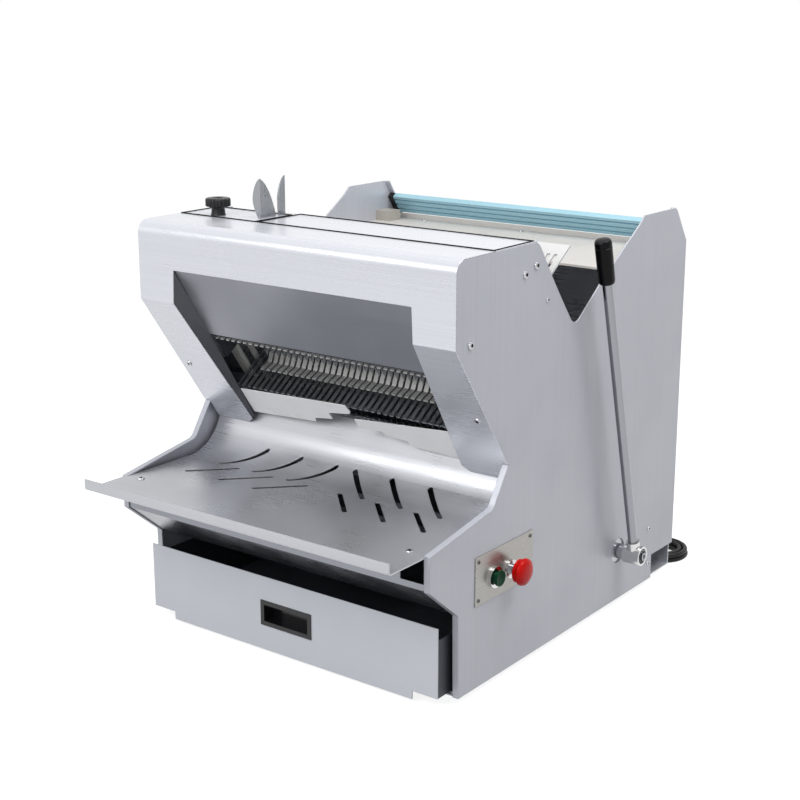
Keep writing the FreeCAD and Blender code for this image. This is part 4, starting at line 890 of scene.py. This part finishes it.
class SLICER_OT_seam_shadows(bpy.types.Operator):
    """Lay the dark beads of painted shadow round both lids"""
    bl_idname = "slicer.gaskets"
    bl_label = "Lid shade_lines"

    def execute(self, context):
        # The beads are painted shadow in the seams round the lids
        seam_shade = moulded("seam_shadow_paint", SEAM_SHADOW_BLACK, roughness=0.6, specular=0.1)
        (left, front, _), (right, rear, high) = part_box("top_lids")
        deck = high - SHADOW_SINK
        near = front - SHADOW_BEAD
        for name, x_low, x_high, y_high in (
            ("left", left, LID_SPLIT - HALF_SEAM, rear - LEFT_LID_SHORT),
            ("right", LID_SPLIT + HALF_SEAM, right, rear),
        ):
            start = x_low + SHADOW_INSET
            end = x_high - SHADOW_BEAD
            far = y_high - SHADOW_BEAD
            corners = [(start, near, deck), (end, near, deck), (end, far, deck), (start, far, deck)]
            shade_bead = seam_shadow_loop(f"lid_seam_shadow_{name}", corners, seam_shade)
            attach(shade_bead, "machine")
        return {"FINISHED"}


# The route of the supply cord, the same as in the solid model, in metres
COIL = {"x": 0.244, "y": 0.719, "radius": 0.05, "pitch": 0.01, "turns": 2, "layer": 0.0092}
LEAD = [(0.165, 0.6735, 0.028), (0.165, 0.698, 0.028), (0.168, 0.723, 0.010), (0.177, 0.747, -0.008),
        (0.195, 0.765, -0.008), (0.216, 0.769, -0.008), (0.236, 0.769, -0.008)]
TAIL = [(0.236, 0.669, 0.0012), (0.218, 0.669, 0.0012), (0.196, 0.671, 0.0), (0.172, 0.673, 0.002),
        (0.148, 0.673, 0.002)]
TURN_POINTS = 16
CORD_SHEATH = (0.012, 0.012, 0.012)


def coil_point(turn):
    """A point of the winding: in on the floor, up a layer in the inner half turn, out on top."""
    inner = COIL["radius"] - COIL["pitch"] * COIL["turns"]
    if turn <= COIL["turns"]:
        radius = COIL["radius"] - COIL["pitch"] * turn
        height = 0
    elif turn <= COIL["turns"] + 0.5:
        radius = inner
        part = (turn - COIL["turns"]) / 0.5
        height = COIL["layer"] * part * part * (3 - 2 * part)
    else:
        radius = inner + COIL["pitch"] * (turn - COIL["turns"] - 0.5)
        height = COIL["layer"]
    angle = math.pi / 2 - 2 * math.pi * turn
    swell = 1 / math.cos(math.pi / TURN_POINTS)
    return (COIL["x"] + radius * swell * math.cos(angle), COIL["y"] + radius * swell * math.sin(angle),
            LEAD[-1][2] + height)


class SLICER_OT_cord(bpy.types.Operator):
    """Lay the supply cord in its coil on the floor"""
    bl_idname = "slicer.cord"
    bl_label = "Cord"

    def execute(self, context):
        last = 2 * COIL["turns"] + 0.5
        count = int(last * TURN_POINTS)
        winding = [coil_point(last * (index + 0.5) / count) for index in range(count)]
        route = [Vector(point) - MIDDLE for point in LEAD + winding + TAIL]
        cord, spline = round_curve("supply_cord", "NURBS", route, sizes().cord_radius, 6)
        spline.order_u = 3
        spline.use_endpoint_u = True
        spline.resolution_u = 8
        cord.data.materials.append(moulded("cord_sheath", CORD_SHEATH, roughness=0.5))
        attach(cord, "machine")
        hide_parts("cord_coil", "cord_lead", "cord_tail")
        return {"FINISHED"}


# Camera, from the straight edges of the photograph
CAMERA_SPOT = (1.3996, -1.8887, 0.9969)
CAMERA_TURN = (math.radians(74.6986), 0, math.radians(36.9638))
CAMERA_LENS = 68.105
CAMERA_FILM = 36

# Name, place, aim, watts and side of each soft light
LIGHTS = (
    ("key_light", (-0.1, -2.5, 2.1), (0, 0, 0.35), 40, 1.7),
    ("edge_light", (-1.5, -2.2, 1.9), (0, 0, 0.6), 8, 0.5),
    ("side_light", (1.15, 0.1, 2.0), (0.3, 0.1, 0.45), 18, 0.9),
    ("top_light", (0.2, 0.6, 2.8), (0, 0, 0.4), 16, 2.0),
)
WORLD_UNSEEN = 0.38

# The floor: its greys for bounced light and for seen rays, and its glow for seen rays
FLOOR_UNSEEN = (0.3, 0.3, 0.3)
FLOOR_SEEN = (0.4, 0.4, 0.4)
FLOOR_GLOW = 0.84
FLOOR_HALF = 6
FLOOR_DROP = 0.0002


def seen_rays(tree):
    """A socket that is 1 for camera, mirror and glass rays, and 0 for the light that bounces."""
    path = tree.nodes.new("ShaderNodeLightPath")
    first = tree.nodes.new("ShaderNodeMath")
    second = tree.nodes.new("ShaderNodeMath")
    first.operation = second.operation = "MAXIMUM"
    tree.links.new(path.outputs["Is Camera Ray"], first.inputs[0])
    tree.links.new(path.outputs["Is Glossy Ray"], first.inputs[1])
    tree.links.new(first.outputs[0], second.inputs[0])
    tree.links.new(path.outputs["Is Transmission Ray"], second.inputs[1])
    return second.outputs[0]


def floor_material():
    """A floor that is white to the camera and in reflections, and throws little light back up."""
    shade = Shade("floor_white", FLOOR_SEEN, 0.0, 0.8, 0.0)
    seen = seen_rays(shade.tree)
    shade.blend(seen, FLOOR_UNSEEN, FLOOR_SEEN)
    shade.shader.inputs["Emission Color"].default_value = (1, 1, 1, 1)
    shade.link(shade.spread(seen, 0.0, FLOOR_GLOW, 0, 1), shade.shader.inputs["Emission Strength"])
    return shade.material


class SLICER_OT_stage(bpy.types.Operator):
    """Set the floor, the soft lights and the camera"""
    bl_idname = "slicer.stage"
    bl_label = "Stage"

    def execute(self, context):
        scene = bpy.context.scene
        bm = bmesh.new()
        bmesh.ops.create_grid(bm, x_segments=2, y_segments=2, size=FLOOR_HALF)
        floor = new_object("studio_floor", mesh_from(bm, "floor"), floor_material())
        floor.location.z = -FLOOR_DROP
        world = bpy.data.worlds.new("studio")
        scene.world = world
        world.use_nodes = True
        tree = world.node_tree
        background = tree.nodes["Background"]
        background.inputs["Color"].default_value = (1, 1, 1, 1)
        level = tree.nodes.new("ShaderNodeMapRange")
        level.inputs["To Min"].default_value = WORLD_UNSEEN
        level.inputs["To Max"].default_value = 1.0
        tree.links.new(seen_rays(tree), level.inputs["Value"])
        tree.links.new(level.outputs["Result"], background.inputs["Strength"])
        for name, spot, aim, energy, size in LIGHTS:
            lamp = bpy.data.lights.new(name, "AREA")
            lamp.energy = energy
            lamp.size = size
            holder = bpy.data.objects.new(name, lamp)
            holder.location = spot
            holder.rotation_euler = (Vector(aim) - Vector(spot)).to_track_quat("-Z", "Y").to_euler()
            scene.collection.objects.link(holder)
        lens = bpy.data.cameras.new("camera")
        lens.lens = CAMERA_LENS
        lens.sensor_width = CAMERA_FILM
        camera = bpy.data.objects.new("camera", lens)
        camera.location = CAMERA_SPOT
        camera.rotation_euler = CAMERA_TURN
        scene.collection.objects.link(camera)
        scene.camera = camera
        scene.view_settings.view_transform = "Standard"
        return {"FINISHED"}


class SLICER_PT_panel(bpy.types.Panel):
    """The slicer's steps in order"""
    bl_label = "Bread slicer"
    bl_idname = "SLICER_PT_panel"
    bl_space_type = "VIEW_3D"
    bl_region_type = "UI"
    bl_category = "Slicer"

    def draw(self, context):
        for operator in OPERATORS:
            self.layout.operator(operator.bl_idname)
        for group in (context.scene.slicer_colours, context.scene.slicer_sizes):
            for name in group.bl_rna.properties.keys():
                if name not in ("rna_type", "name"):
                    self.layout.prop(group, name)


OPERATORS = (SLICER_OT_stage, SLICER_OT_cord, SLICER_OT_finishes, SLICER_OT_blades, SLICER_OT_screws,
             SLICER_OT_controls, SLICER_OT_grip, SLICER_OT_leaves, SLICER_OT_seam_shadows)
CLASSES = (SlicerColours, SlicerSizes) + OPERATORS + (SLICER_PT_panel,)


def register():
    for item in CLASSES:
        bpy.utils.register_class(item)
    bpy.types.Scene.slicer_colours = PointerProperty(type=SlicerColours)
    bpy.types.Scene.slicer_sizes = PointerProperty(type=SlicerSizes)


def unregister():
    del bpy.types.Scene.slicer_sizes
    del bpy.types.Scene.slicer_colours
    for item in reversed(CLASSES):
        bpy.utils.unregister_class(item)


def main():
    register()
    for operator in OPERATORS:
        name = operator.bl_idname.split(".")[1]
        getattr(bpy.ops.slicer, name)()


if __name__ == "__main__":
    main()
